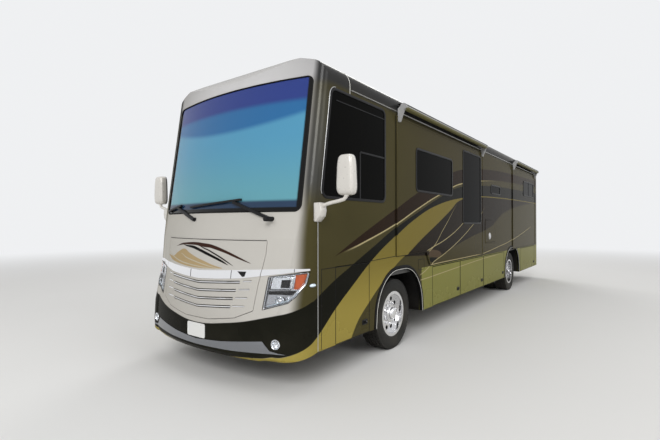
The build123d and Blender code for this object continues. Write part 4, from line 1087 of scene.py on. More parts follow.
def makeSeams():
    s = seams
    for side, tag in tags.items():
        low = sideLine(divided([(s["capSeam"], s["skirt"]), (s["capSeam"], s["glassFoot"])], 0.1), side, 0.001)
        bars("capSeamTrim_" + tag, [low], s["radius"], *silverTrim)
        corner = (s["boxSeam"], s["boxTop"][1])
        gap = sideLine(divided([(s["boxSeam"], s["skirt"]), corner, s["boxTop"]], 0.1), side, s["gap"])
        belt = sideLine(divided(s["belt"], 0.1), side, s["gap"])
        bars("boxSeam_" + tag, [gap, belt] if side > 0 else [gap], s["radius"], *rubberTrim)
        if side > 0:
            ring = offsetOutline(roundedOutline(driverWindow["corners"], driverWindow["corner"], 8), s["trimOut"])
            kept = [p.x < -1.3 and p.y > 1.97 for p in ring]
            first = next(i for i, k in enumerate(kept) if k and not kept[i - 1])
            front = [ring[(first + i) % len(ring)] for i in range(sum(kept))]
            bars("driverWindowTrim", [sideLine([(p.x, p.y) for p in front], side, 0.002)], 0.004, *silverTrim)
        rails = sideLine(divided([(s["capBack"] + 0.02, s["rail"]), (s["rearSeam"], s["rail"])], 0.4), side, 0.004)
        bars("dripRail_" + tag, [rails], s["railRadius"], "satinSilver", "coach", "side_paint", flat=s["railFlat"])
    for y, tag in ((s["capBack"], "front"), (s["rearSeam"], "rear")):
        arc = [aroundBody(fromAxle(y), math.radians(a), 0.001) for a in range(20, 161, 2)]
        bars("roofSeam_" + tag, [arc], s["radius"], "satinSilver" if tag == "rear" else "sealWhite", "coach",
            "roof_white")


makeSeams()
print("seams done")


# Mirrors: a shell, its bezel and glass, an arm and the casting that carries it. Metres in the part's frame

mirrorShape = {
    "x": 1.607, "y": -5.225, "z": 2.147, "halfWide": 0.0955, "halfHigh": 0.2005, "deep": 0.104,
    "taper": 0.104, "power": 4.8, "footY": -5.275, "footHalf": 0.0515, "armRadius": 0.019,
    # the line between the two glasses: half its length, share of the depth, height from the middle
    "split": (0.084, 0.467, -0.075), "splitRadius": 0.003,
    "collar": [(1.6065, -5.225, 1.936), (1.607, -5.225, 1.958)], "collarRadius": 0.0245,
    "foot": [(-0.012, 1.691), (0.012, 1.691), (0.069, 1.745), (0.083, 1.805), (0.066, 1.883), (-0.012, 1.883)],
    "arm": [(1.325, -5.275, 1.842), (1.365, -5.27, 1.856), (1.44, -5.256, 1.878), (1.53, -5.238, 1.896),
        (1.58, -5.229, 1.91), (1.602, -5.226, 1.934), (1.607, -5.225, 2.0)]}


def superLoop(count, halfWide, halfHigh, power, taper=0.0):
    out = []
    for c, s in circle(count):
        x = math.copysign(abs(c) ** (2 / power), c) * halfWide
        z = math.copysign(abs(s) ** (2 / power), s) * halfHigh
        out.append((x * (1 - taper * z / halfHigh), z))
    return out


def mirrorRings(side, rows):
    s = mirrorShape
    shape = superLoop(40, s["halfWide"], s["halfHigh"], s["power"], s["taper"])
    return [[(side * (s["x"] + x * k), s["y"] + s["deep"] * (depth - 0.5), s["z"] + z * k) for x, z in shape]
        for depth, k in rows]


def makeMirror(side):
    s = mirrorShape
    tag = tags[side]
    # share of the depth from the front, share of the outline
    shellRows = [(0.0, 0.35), (0.01, 0.62), (0.04, 0.8), (0.12, 0.925), (0.28, 0.98), (0.6, 0.998), (0.8, 1.0),
        (0.825, 0.995), (0.83, 0.975)]
    head = lofted("mirrorHead_" + tag, mirrorRings(side, shellRows), *mirrorCoat, 50, first=True, last=False)
    bezelRows = [(0.82, 0.9), (0.835, 0.975), (0.845, 0.993), (0.95, 0.993), (0.985, 0.975), (1.0, 0.95),
        (0.99, 0.925), (0.955, 0.915)]
    lofted("mirrorBezel_" + tag, mirrorRings(side, bezelRows), *plasticTrim, 50, last=False)
    lofted("mirrorGlass_" + tag, mirrorRings(side, [(0.84, 0.915), (0.955, 0.912), (0.965, 0.9)]), "mirrorFace",
        "coach", "cap_paint", 20, first=True)
    half, back, up = s["split"]
    bars("mirrorSplit_" + tag, [[(side * (s["x"] + x), s["y"] + s["deep"] * back, s["z"] + up)
        for x in (-half, half)]], s["splitRadius"], *plasticTrim)
    bars("mirrorArm_" + tag, [[(side * x, y, z) for x, y, z in s["arm"]]], s["armRadius"], *mirrorCoat, sides=14)
    bars("mirrorCollars_" + tag, [[(side * x, y, z) for x, y, z in ends]
        for ends in (s["arm"][0:2], s["collar"])], s["collarRadius"], *mirrorCoat, sides=16)
    outline = roundedOutline(s["foot"], 0.012, 4)
    loops = [[(side * (halfWidth + p[0]), s["footY"] + y * s["footHalf"], p[1]) for p in offsetOutline(outline, off)]
        for y, off in ((-1.0, -0.014), (-0.97, -0.005), (-0.85, 0.0), (0.85, 0.0), (0.97, -0.005), (1.0, -0.014))]
    lofted("mirrorFoot_" + tag, loops, *mirrorCoat, 40, first=True)
    return head


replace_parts(makeMirror(1), "mirrors")
makeMirror(-1)
print("mirrors done")


# Headlamps, fog lamps and marker lamps

lampShape = {
    "outline": [(0.895, 1.138), (1.266, 1.196), (1.254, 1.079), (1.191, 0.957), (1.128, 0.894), (0.87, 0.815)],
    "upper": [(0.925, 1.134), (0.914, 1.012), (1.148, 1.024), (1.152, 1.158)],
    "amber": [(1.166, 1.162), (1.164, 1.032), (1.214, 1.03), (1.236, 1.08), (1.247, 1.172)],
    "cell": [(1.022, 1.036), (1.108, 1.041), (1.11, 1.115), (1.024, 1.11)],
    "divider": [(0.91, 0.966), (1.15, 0.972), (1.178, 1.0), (1.178, 1.016), (0.912, 1.0)],
    "bowl": (1.03, 0.905, 0.052), "smallBowl": (1.122, 0.934, 0.026),
    "dayStrip": [(0.905, 0.85), (1.12, 0.918), (1.18, 0.975), (1.235, 1.09)],
    # share of the radius, depth
    "bowlRows": [(1.0, 0.0), (1.0, -0.002), (0.92, -0.003), (0.8, 0.008), (0.62, 0.016), (0.55, 0.01), (0.4, 0.001),
        (0.2, -0.003)]}


def frontPatch(name, outline, side, skin, heights, finish, body, slotName, rows=7):
    # a patch on the front: rings of the outline shrink to its middle and follow the skin
    pts = divided(outline, 0.02, True)
    mid = sum(pts, Vector((0, 0))) / len(pts)
    loops = [[onFront(side * p.x, p.y, h, skin) for p in offsetOutline(pts, off)] for off, h in heights]
    off, h = heights[-1]
    inner = offsetOutline(pts, off)
    for k in range(1, rows):
        t = 1 - k / rows
        loops.append([onFront(side * (mid.x + (p.x - mid.x) * t), mid.y + (p.y - mid.y) * t, h, skin) for p in inner])
    return lofted(name, loops, finish, body, slotName, 40)


lampParts = [  # name, outline, rings inwards, finish, (offset outwards, height)
    ("lampHousing_", "outline", 7, "lampInside", [(-0.002, -0.006), (-0.012, -0.008), (-0.02, -0.03)]),
    ("lampUpper_", "upper", 5, "lampReflector", [(0.006, -0.029), (0.005, -0.012), (0.0, -0.01), (-0.004, -0.013),
        (-0.01, -0.024)]),
    ("lampAmber_", "amber", 4, "lampAmber", [(0.003, -0.029), (0.002, -0.009), (-0.002, -0.008)]),
    ("lampCell_", "cell", 3, "blackPlastic", [(0.002, -0.012), (0.0, -0.0085), (-0.005, -0.0095)]),
    ("lampDivider_", "divider", 3, "blackPlastic", [(0.0, -0.029), (0.0, -0.009), (-0.004, -0.007)])]


def makeLamp(side):
    s = lampShape
    tag = tags[side]
    skin = skinOf("headlamps", "front_cap")
    lens = frontPatch("lampLens_" + tag, s["outline"], side, skin,
        [(-0.001, -0.006), (-0.001, -0.001), (-0.004, 0.0004)], "clearLens", "coach", "lamp_clear")
    for name, outline, rows, finish, heights in lampParts:
        frontPatch(name + tag, s[outline], side, skin, heights, finish, "coach", "lamp_clear", rows)
    bm = bmesh.new()
    for cx, cz, r in (s["bowl"], s["smallBowl"]):
        base = onFront(side * cx, cz, -0.01, skin)
        joinLoops(bm, [[(base.x + a * r * k * side, base.y + y + 0.3 * a * r * k, base.z + b * r * k)
            for a, b in circle(28)] for k, y in s["bowlRows"]], True, False, True)
    fromBmesh("lampBowl_" + tag, bm, "lampReflector", "coach", "lamp_clear", 40)
    strip = divided(s["dayStrip"], 0.015)
    bars("lampStrip_" + tag, [[onFront(side * p.x, p.y, -0.012, skin) for p in strip]], 0.0045, "lampWhite", "coach",
        "lamp_clear")
    edge = divided(s["outline"], 0.02, True)
    bars("lampSeal_" + tag, [[onFront(side * p.x, p.y, 0.0, skin) for p in offsetOutline(edge, 0.001)]], 0.003,
        *rubberTrim, True)
    return lens


def lampFinish(name, color, transmission, rough, metallic, flutes):
    m, t, shader, place = startMaterial(name, Metallic=metallic, Transmission_Weight=transmission, IOR=1.46)
    fine = tinted(t, shader, place, color, 9.0, 0.12)
    feed(t, add(t, mul(t, fine, 0.06), rough), shader.inputs["Roughness"])
    if flutes:
        w = node(t, "ShaderNodeTexWave", bands_direction="X", Vector=place, Scale=flutes, Distortion=0.0)
        bumped(t, shader, w.outputs["Fac"], 0.5, 0.003)
    return m


lampFinishes = {  # colour, transmission, roughness, metallic, flutes
    "clearLens": ((0.97, 0.98, 0.99), 1.0, 0.0, 0.0, 0), "lampReflector": ((0.82, 0.84, 0.87), 0.0, 0.1, 1.0, 26),
    "lampInside": ((0.42, 0.43, 0.45), 0.0, 0.16, 0.9, 0), "lampAmber": ((0.9, 0.15, 0.012), 0.25, 0.1, 0.0, 40),
    "lampWhite": ((0.75, 0.86, 0.95), 0.0, 0.15, 0.0, 0), "lampRed": ((0.5, 0.012, 0.01), 0.35, 0.08, 0.0, 44)}
for name, row in lampFinishes.items():
    finishes[name] = lampFinish(name, *row)

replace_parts(makeLamp(1), "headlamps")
makeLamp(-1)

fogShape = {"x": 1.038, "z": 0.492, "radius": 0.044}


def makeFogLamp(side):
    s = fogShape
    tag = tags[side]
    skin = skinOf("headlamps", "front_cap")
    middle = onFront(side * s["x"], s["z"], 0.0, skin)
    out = (onFront(side * (s["x"] - 0.05), s["z"], 0.0, skin) - onFront(side * (s["x"] + 0.05), s["z"], 0.0, skin))
    flat = Vector((out.x, out.y, 0)).normalized()
    up = Vector((0, 0, 1))
    way = flat.cross(up)
    if way.y > 0:
        way = -way

    def dish(name, rows, finish):
        loops = [[middle + flat * (r * a) + up * (r * b) + way * h for a, b in circle(28)] for r, h in rows]
        lofted(name + tag, loops, finish, "coach", "lamp_clear", 40)

    r = s["radius"]
    dish("fogRing_", [(r + 0.01, -0.004), (r + 0.008, 0.001), (r + 0.002, 0.002), (r - 0.003, -0.002),
        (r - 0.005, -0.012), (r * 0.7, -0.024), (r * 0.3, -0.028), (r * 0.1, -0.02)], "lampReflector")
    dish("fogLens_", [(r - 0.004, -0.012), (r - 0.004, -0.006), (r * 0.7, -0.003), (r * 0.3, -0.001),
        (r * 0.05, -0.001)], "clearLens")


makeFogLamp(1)
makeFogLamp(-1)
print("lamps done")


# Seats

seatShape = {
    "seats": [("driverSeat", 0.65, -0.65), ("passengerSeat", -0.65, -0.15)], "deck": 1.045,
    # name, centre (across, back, up), half sizes, power, lean in degrees, fill
    "parts": [("Cushion", (0.0, 0.0, 0.43), (0.27, 0.275, 0.085), 3.2, -4, 0.75),
        ("Back", (0.0, 0.265, 0.79), (0.255, 0.075, 0.33), 3.4, 7, 0.7),
        ("Head", (0.0, 0.315, 1.125), (0.15, 0.06, 0.072), 3.0, 6, 0.8),
        ("ArmLeft", (0.285, 0.08, 0.64), (0.04, 0.19, 0.038), 3.0, 0, 0.8),
        ("ArmRight", (-0.285, 0.08, 0.64), (0.04, 0.19, 0.038), 3.0, 0, 0.8)],
    "baseProfile": [(0.0, 0.185), (0.02, 0.185), (0.035, 0.15), (0.055, 0.095), (0.3, 0.09), (0.325, 0.17),
        (0.345, 0.18), (0.35, 0.05)]}


def padMesh(half, power, lean, centre, welts):
    bm = bmesh.new()
    bmesh.ops.create_cube(bm, size=2.0)
    bmesh.ops.subdivide_edges(bm, edges=bm.edges[:], cuts=9, use_grid_fill=True)
    tilt = Matrix.Rotation(math.radians(-lean), 4, "X")
    for v in bm.verts:
        p = v.co
        k = (abs(p.x) ** power + abs(p.y) ** power + abs(p.z) ** power) ** (1 / power)
        q = Vector((p.x / k, p.y / k, p.z / k))
        big = max(half)
        for i in range(3):  # sewn channels run across the broad faces
            if half[i] < 0.5 * big and welts:
                j = (i + 2) % 3 if half[(i + 2) % 3] >= half[(i + 1) % 3] else (i + 1) % 3
                groove = 0.5 + 0.5 * math.cos(q[j] * math.pi * welts)
                q[i] *= 1 - 0.1 * (1 - groove) ** 4 - 0.1 * max(0, abs(q[j]) - 0.75)
        v.co = tilt @ Vector((q.x * half[0], q.y * half[1], q.z * half[2])) + Vector(centre)
    return bm


def makeSeats():
    s = seatShape
    first = None
    for name, x, y in s["seats"]:
        for part, centre, half, power, lean, fill in s["parts"]:
            spot = (x + centre[0], fromAxle(y) + centre[1], s["deck"] + centre[2])
            bm = padMesh(half, power, lean, spot, 5 if part in ("Cushion", "Back") else 0)
            o = fromBmesh(name + part, bm, *leather, 80)
            mod = o.modifiers.new("smooth", "SUBSURF")
            mod.levels = mod.render_levels = 1
            first = first or o
            if part in ("Cushion", "Back"):
                loop = []
                for c, d in circle(48):
                    r = (abs(c) ** power + abs(d) ** power) ** (-1 / power)
                    if part == "Cushion":
                        v = Vector((c * r * half[0], d * r * half[1], 0.35 * half[2]))
                    else:
                        v = Vector((c * r * half[0], -0.35 * half[1], d * r * half[2]))
                    v *= 0.985
                    loop.append(Matrix.Rotation(math.radians(-lean), 4, "X") @ v + Vector(spot))
                bars(name + part + "_welt", [loop], 0.005, *leather, True)
        loops = [[(x + r * a, fromAxle(y) + r * b, s["deck"] + h) for a, b in circle(32)]
            for h, r in s["baseProfile"]]
        lofted(name + "Base", loops, *plasticTrim, first=True)
    return first


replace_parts(makeSeats(), "seats")
print("seats done")


# Air conditioners and roof

coolerShape = {
    "places": [1.2, 6.3], "wide": 0.694, "long": 0.99, "low": 3.54, "top": 3.8985, "steps": 44,
    # share of the height, share of the outline, set back of the middle
    "rows": [(0.0, 1.0, 0.0), (0.1, 1.0, 0.0), (0.13, 0.985, 0.0), (0.5, 0.955, 0.012), (0.72, 0.915, 0.022),
        (0.86, 0.85, 0.034), (0.95, 0.74, 0.044), (0.985, 0.6, 0.05), (1.0, 0.36, 0.054), (1.0, 0.1, 0.054)],
    # of the louvres and vents: count, place out from the middle, height of the first, step inwards and up
    "louvre": (0.4, 0.01, 0.012), "louvres": (7, 0.488, 3.6, 0.0035, 0.026),
    "vent": (0.01, 0.24, 0.01), "vents": (5, 0.341, 3.61, 0.0023, 0.024)}


def makeCooler(i, y):
    s = coolerShape
    outline = superLoop(s["steps"], s["wide"] / 2, s["long"] / 2, 5.5)
    loops = [[(x * k, fromAxle(y) + back + z * k, s["low"] + (s["top"] - s["low"]) * up) for x, z in outline]
        for up, k, back in s["rows"]]
    shroud = lofted("coolerShroud_%d" % i, loops, *gelCoat, 40, first=True)
    unit = bmesh.new()
    addBox(unit, (0, 0, 0), s["louvre"], 0.003)
    count, away, low, step, up = s["louvres"]
    grow("coolerLouvres_%d" % i, rowOf, cleanMesh("louvre", unit), "chassisBlack", "coach", "black_plastic",
        Count=count, Start=(0, fromAxle(y) + away, low), Step=(0, -step, up))
    unit = bmesh.new()
    addBox(unit, (0, 0, 0), s["vent"], 0.003)
    count, away, low, step, up = s["vents"]
    for k, part in ((-1, "b"), (1, "a")):
        grow("coolerVents_%d_%s" % (i, part), rowOf, cleanMesh("vent", unit.copy()), "chassisBlack", "coach",
            "black_plastic", Count=count, Start=(k * away, fromAxle(y), low), Step=(-k * step, 0, up))
    unit.free()
    return shroud


shrouds = [makeCooler(i, y) for i, y in enumerate(coolerShape["places"])]
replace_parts(shrouds[0], "ac_units")

roofFittings = {
    "lids": [(0.0, 3.0, 0.21), (0.42, 5.2, 0.21), (0.0, 8.2, 0.21)],
    "domes": [(0.45, 2.3, 0.2, 0.16)], "pipes": [(-0.6, 1.6), (0.62, 7.3), (-0.55, 5.8)],
    "panels": [(-0.55, 3.1), (-0.55, 4.3)], "panel": (0.5, 0.98, 0.012), "rim": (0.54, 1.02, 0.022),
    "panelLift": 0.028, "feet": [(-0.22, -0.42), (-0.22, 0.42), (0.22, -0.42), (0.22, 0.42)], "foot": (0.05, 0.03),
    # height, share of the outline or radius
    "lidRows": [(0.0, 1.1), (0.014, 1.1), (0.016, 1.0), (0.03, 1.0), (0.032, 1.05), (0.045, 1.05), (0.085, 0.96),
        (0.102, 0.82), (0.108, 0.5), (0.11, 0.1)],
    "pipeRows": [(0.0, 0.07), (0.012, 0.068), (0.016, 0.035), (0.06, 0.033), (0.062, 0.048), (0.08, 0.046),
        (0.088, 0.01)]}


def roofHeight(x, y):
    hit = capSkin.ray_cast(Vector((x, fromAxle(y), 5)), Vector((0, 0, -1)))[0]
    return hit.z if hit else 3.5


def makeRoof():
    s = roofFittings
    for i, (x, y, half) in enumerate(s["lids"]):
        base = roofHeight(x, y) - 0.012
        loops = [[(x + a * k, fromAxle(y) + b * k, base + up) for a, b in superLoop(32, half, half, 6)]
            for up, k in s["lidRows"]]
        lofted("roofLid_%d" % i, loops, *gelCoat, 30, first=True)
    for i, (x, y, r, high) in enumerate(s["domes"]):
        base = roofHeight(x, y) - 0.01
        angles = [math.pi / 2 * k / 8.3 for k in range(9)]
        loops = [[(x + r * math.cos(a) * c, fromAxle(y) + r * math.cos(a) * d, base + high * math.sin(a))
            for c, d in circle(36)] for a in angles]
        lofted("roofDome_%d" % i, loops, *gelCoat, 40, first=True)
    bm = bmesh.new()
    for x, y in s["pipes"]:
        base = roofHeight(x, y) - 0.01
        joinLoops(bm, [[(x + r * c, fromAxle(y) + r * d, base + up) for c, d in circle(20)]
            for up, r in s["pipeRows"]], True, True, True)
    fromBmesh("roofPipes", bm, *gelCoat, 30)
    glass, rims = bmesh.new(), bmesh.new()
    for x, y in s["panels"]:
        z = max(roofHeight(x + k * 0.26, y) for k in (-1, 1)) + s["panelLift"]
        addBox(glass, (x, fromAxle(y), z), s["panel"])
        addBox(rims, (x, fromAxle(y), z - 0.006), s["rim"], 0.004)
        for a, b in s["feet"]:
            low = roofHeight(x + a, y + b) - 0.006
            addBox(rims, (x + a, fromAxle(y) + b, (low + z) / 2), (*s["foot"], z - low), 0.003)
    fromBmesh("solarGlass", glass, "solarCells", "coach", "dark_glass", 20)
    fromBmesh("solarRims", rims, *silverTrim, 20)


def solarFinish():
    m, t, shader, place = startMaterial("solarCells", Roughness=0.15, Coat_Weight=1.0)
    grid = node(t, "ShaderNodeTexBrick", offset=0.0, Vector=place, Color1=(0.008, 0.01, 0.024, 1),
        Color2=(0.01, 0.013, 0.03, 1), Mortar=(0.1, 0.11, 0.12, 1), Scale=8.0, Mortar_Size=0.012, Brick_Width=1.0,
        Row_Height=1.0)
    feed(t, grid.outputs["Color"], shader.inputs["Base Color"])
    return m


finishes["solarCells"] = solarFinish()
makeRoof()
print("roof done")


# Edges of the slide rooms, latches, arches and awnings

slideRooms = [  # name, side, body, y from the front axle, y, low z, high z
    ("slideLeftFront", 1, "slide_room_left_front", -0.05, 3.7, 1.03, 3.11),
    ("slideLeftRear", 1, "slide_room_left_rear", 6.2, 8.93, 1.03, 3.11),
    ("slideRight", -1, "slide_room_right", 0.7, 4.2, 1.03, 3.11)]
slideTrim = {"steps": [(-0.001, -0.004), (-0.001, 0.004), (-0.004, 0.006), (-0.022, 0.006), (-0.026, 0.0)],
    "step": (0.89, 1.04, 1.24)}


def makeSlideTrim():
    for name, side, body, y0, y1, z0, z1 in slideRooms:
        if name == "slideLeftFront":
            s0, s1, sz = slideTrim["step"]
            corners = [(y0, sz), (s0, sz), (s1, z0), (y1, z0), (y1, z1), (y0, z1)]
        else:
            corners = cornersOf(y0, y1, z0, z1)
        outline = roundedOutline([(fromAxle(y), z) for y, z in corners], 0.012, 3)
        framed(name + "_flange", outline, onSide(side, slideFace), slideTrim["steps"], "capPaint", body, "side_paint")
        ring = offsetOutline(outline, 0.004)
        bars(name + "_seal", [[Vector((side * (slideFace - 0.0115), p.x, p.y)) for p in ring]], 0.0055, "blackRubber",
            body, "black_plastic", True)


makeSlideTrim()

bayDoors = [  # y from the front axle, y, top; the first one is only on the left
    (-1.42, -0.73, 1.21), (1.15, 2.39, 1.0), (2.4, 3.77, 1.0), (3.78, 5.38, 1.0), (7.05, 8.88, 1.0)]
latchShape = {
    "wide": 0.115, "high": 0.06, "fromEdge": 0.105, "z": 0.52, "skirt": 0.387, "lockBack": 0.036,
    "steps": [(0.0, -0.001), (0.0, 0.004), (-0.003, 0.006), (-0.009, 0.006), (-0.011, 0.0025), (-0.018, 0.002),
        (-0.024, 0.0035)],
    "lock": [(0.002, 0.009), (0.007, 0.009), (0.008, 0.007), (0.008, 0.001)]}


def makeLatches():
    s = latchShape
    doors = [(side, i, *row) for side in tags for i, row in enumerate(bayDoors[0 if side > 0 else 1:], 1)]
    for side, i, y0, y1, top in doors:
        nodeName, body = "bay_door_%s_%d" % (tags[side], i), "bay_%s_%d" % (tags[side], i)
        place = onSide(side)
        y = fromAxle(y1) - s["fromEdge"]
        outline = plateOutline(y, s["z"], s["wide"], s["high"], 0.012, 4)
        framed(nodeName + "_latch", outline, place, s["steps"], "blackPlastic", body, "black_plastic", False)
        lock = [(side * (halfWidth + h), r) for h, r in s["lock"]]
        lofted(nodeName + "_lock", turned(lock, (y + s["lockBack"], s["z"]), 16), "castMetal", body, "bright_trim",
            first=True)
        seal = offsetOutline(boxOutline(fromAxle(y0), fromAxle(y1), s["skirt"], top, 0.004, 1), -0.0028)
        bars(nodeName + "_seal", [[place(p[0], p[1], -0.001) for p in seal]], 0.0044, "blackRubber", body,
            "black_plastic", True)


low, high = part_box("fuel_door")
gap = boxOutline(low.y - 0.002, high.y + 0.002, low.z - 0.002, high.z + 0.002, 0.008, 3)
bars("fuelGap", [[onSide(1)(p[0], p[1], -0.0008) for p in gap]], 0.0034, *rubberTrim, True)
makeLatches()
print("slide trims and latches done")


# Wheel arches

archShape = {
    "front": (-0.57, 0.765, 1.052), "rear": (5.48, 6.905, 1.06), "lean": 0.015, "corner": 0.56,
    "lip": [(-0.001, -0.04), (-0.001, 0.005), (0.004, 0.008), (0.046, 0.008), (0.052, 0.004), (0.053, -0.001)],
    "liner": [(0.002, -0.046), (0.006, -0.25), (0.006, -0.6)]}


def archPath(which, skirt=0.385):
    front, rear, top = archShape[which]
    lean = archShape["lean"]
    pts = roundedOutline([(fromAxle(front), -0.9), (fromAxle(rear), -0.9), (fromAxle(rear - lean), top),
        (fromAxle(front + lean), top)], archShape["corner"], 14)
    above = [p for p in pts if p.y > skirt + 0.01]
    above.sort(key=lambda p: math.atan2(p.y - 0.2, p.x - fromAxle((front + rear) / 2)))
    return [Vector((fromAxle(rear), skirt))] + above + [Vector((fromAxle(front), skirt))]


def makeArches():
    s = archShape
    for which in ("front", "rear"):
        path = archPath(which)
        for side, tag in tags.items():
            place = onSide(side)
            name = "arch_%s_%s" % (which, tag)

            def sheet(part, finish, thick, way=-1):
                loops = [[place(p.x, p.y, h) for p in openOffset(path, off)] for off, h in s[part]]
                o = lofted(name + "_" + part, loops, finish, "coach", "black_plastic", closed=False, last=False)
                thicken(o, thick, way)

            sheet("lip", "blackRubber", 0.002)
            bars(name + "_line", [[place(p.x, p.y, 0.0085) for p in openOffset(path, 0.004)]], 0.0035, "sealWhite",
                "coach", "bright_trim")
            sheet("liner", "wellBlack", 0.003, 1)


makeArches()
print("arches done")


# Grille bars, plate, markers and the hood's strip. Slots: height at the middle, end of the long slot, ends of the
# short one

noseShape = {
    "slots": [(0.768, 0.498, 0.52, 0.668), (0.853, 0.52, 0.548, 0.69), (0.938, 0.55, 0.582, 0.708),
        (1.023, 0.588, 0.624, 0.722)],
    "rise": 0.034, "slotHigh": 0.03, "shortLow": 0.014, "shortEnd": 0.008, "bands": 12,
    "bar": [(0.3, -0.022), (0.3, -0.004), (0.37, 0.0005), (0.56, 0.0008), (0.74, -0.005), (0.78, -0.022)],
    "shortBar": [(0.02, -0.014), (0.04, -0.002), (0.16, 0.0008), (0.5, -0.001), (0.92, -0.008), (0.98, -0.016)],
    "meshDeep": 0.05, "meshBox": (-0.72, 0.72, 0.735, 1.08),
    "plate": (0.0, 0.522, 0.305, 0.152), "marker": (-1.79, 1.06),
    "hoodTop": 1.4995, "plateFace": -2.2308, "boltOut": 0.088, "boltUp": 0.06,
    "plateRows": [(0, 0.004), (0, 0.0), (-0.006, -0.0001), (-0.009, 0.0007), (-0.014, 0.0007)],
    "boltRows": [(0.006, 0.001), (0.0055, -0.0002), (0.002, -0.0003)],
    "markerRows": [(-0.004, 1.15), (0.003, 1.15), (0.005, 1.0), (0.014, 0.82), (0.021, 0.5), (0.023, 0.1)],
    "stripJoints": [-0.15, 0.478, 1.151], "inlay": [(0.551, 1.181), (0.656, 1.183), (0.637, 1.108)]}


def makeGrilleBars():
    s = noseShape
    skin = skinOf("hood", "front_cap")
    bm = bmesh.new()
    for low, long, short0, short1 in s["slots"]:
        slopeAt = s["rise"] / long
        for x0, x1, bar in ((-long, long, "bar"), (short0, short1, "shortBar"), (-short1, -short0, "shortBar")):
            steps = s["bands"] * 2 if bar == "bar" else s["bands"] // 2
            loops = []
            for share, h in s[bar]:
                row = []
                for k in range(steps + 1):
                    x = x0 + (x1 - x0) * k / steps
                    x = max(x0 + 0.001, min(x1 - 0.001, x))
                    if bar == "bar":
                        foot, high = low + slopeAt * abs(x), s["slotHigh"]
                    else:
                        out = (abs(x) - short0) / (short1 - short0) * s["shortEnd"]
                        foot = low + slopeAt * short0 + s["shortLow"] + out
                        high = s["slotHigh"] - s["shortLow"]
                    under = onFront(x, foot - 0.004, h, skin)
                    over = onFront(x, foot + high + 0.004, h, skin)
                    row.append(under.lerp(over, (share * high + 0.004) / (high + 0.008)))
                loops.append(row)
            joinLoops(bm, loops, False)
    fromBmesh("grilleBars", bm, "chrome", "hood_panel", "bright_trim", 50)


def makeNose():
    s = noseShape
    makeGrilleBars()
    skin = skinOf("hood")
    x0, x1, z0, z1 = s["meshBox"]
    rows = []
    for k in range(9):
        z = z0 + (z1 - z0) * k / 8
        rows.append([onFront(x0 + (x1 - x0) * i / 24, min(z, 1.07), 0.0, skin) + Vector((0, s["meshDeep"], 0))
            for i in range(25)])
    thicken(lofted("grilleScreen", rows, "grilleMesh", "hood_panel", "black_plastic", closed=False, last=False),
        0.002)
    x, z, wide, high = s["plate"]
    outline = plateOutline(x, z, wide, high, 0.02, 4)
    face = fromAxle(s["plateFace"])
    loops = [[(p.x, face + d, p.y) for p in offsetOutline(outline, off)] for off, d in s["plateRows"]]
    lofted("frontPlate", loops, "plateWhite", "coach", "bright_trim", 8, first=True)
    bm = bmesh.new()
    for k in (-s["boltOut"], s["boltOut"]):
        loops = [[(x + k + r * a, face + d, z + s["boltUp"] + r * b) for a, b in circle(12)]
            for r, d in s["boltRows"]]
        joinLoops(bm, loops, True, False, True)
    fromBmesh("plateBolts", bm, *brightTrim)
    for side, tag in tags.items():
        y, z = fromAxle(s["marker"][0]), s["marker"][1]
        loops = [[(side * (halfWidth - 0.006 + out), y + 0.04 * k * a, z + 0.014 * k * b)
            for a, b in superLoop(24, 1, 1, 2.2)] for out, k in s["markerRows"]]
        lofted("noseMarker_" + tag, loops, "lampWhite", "coach", "lamp_clear", 40)
    stripSkin = skinOf("hood_strip", "cap_trim")
    for i, x in enumerate(s["stripJoints"]):
        zs = [z for z in (1.08 + 0.16 * k / 60 for k in range(61)) if onStrip(x, z, stripSkin)]
        body = "hood_panel" if abs(x) < 0.8 else "coach"
        bars("stripJoint_%d" % i, [[onFront(x, z, 0.0, stripSkin) for z in zs[::4]]], 0.0032, "blackRubber", body,
            "black_plastic")
    corners = divided(s["inlay"], 0.03, True)
    framed("stripInlay", corners, lambda x, z, h: onFront(x, z, h, stripSkin),
        ((0.0, 0.0), (-0.001, 0.0012), (-0.012, 0.0012)), "blackPlastic", "hood_panel", "black_plastic", False)
    hoodEdge = skinOf("hood", "front_cap")
    seal = [onFront(-0.838 + 1.676 * k / 40, s["hoodTop"], -0.001, hoodEdge) for k in range(41)]
    bars("hoodSeal", [seal], 0.0055, *rubberTrim, flat=0.7)


def onStrip(x, z, skin):
    return skin.ray_cast(Vector((x, frontAxle - 4, z)), Vector((0, 1, 0)))[0] is not None


def meshFinish():
    m, t, shader, place = startMaterial("grilleMesh", Metallic=0.4, Roughness=0.45)
    cells = node(t, "ShaderNodeTexVoronoi", feature="DISTANCE_TO_EDGE", Vector=place, Scale=90, Randomness=0.0)
    wire = fall(t, cells.outputs["Distance"], 0.05, 0.12)
    feed(t, blendColor(t, wire, (0.002, 0.002, 0.002), (0.1, 0.1, 0.1)), shader.inputs["Base Color"])
    bumped(t, shader, wire, 0.6, 0.002)
    return m


finishes["grilleMesh"] = meshFinish()
makeNose()
print("nose done")


# Rear lamps and rear details

rearLamp = (1.0, 1.16, 1.05, 1.45)  # across, across, up, up


def onBack(x, z, h, skin):
    hit = skin.ray_cast(Vector((x, rearFace + 2, z)), Vector((0, -1, 0)))[0]
    return Vector((x, (hit.y if hit else rearFace) + h, z))


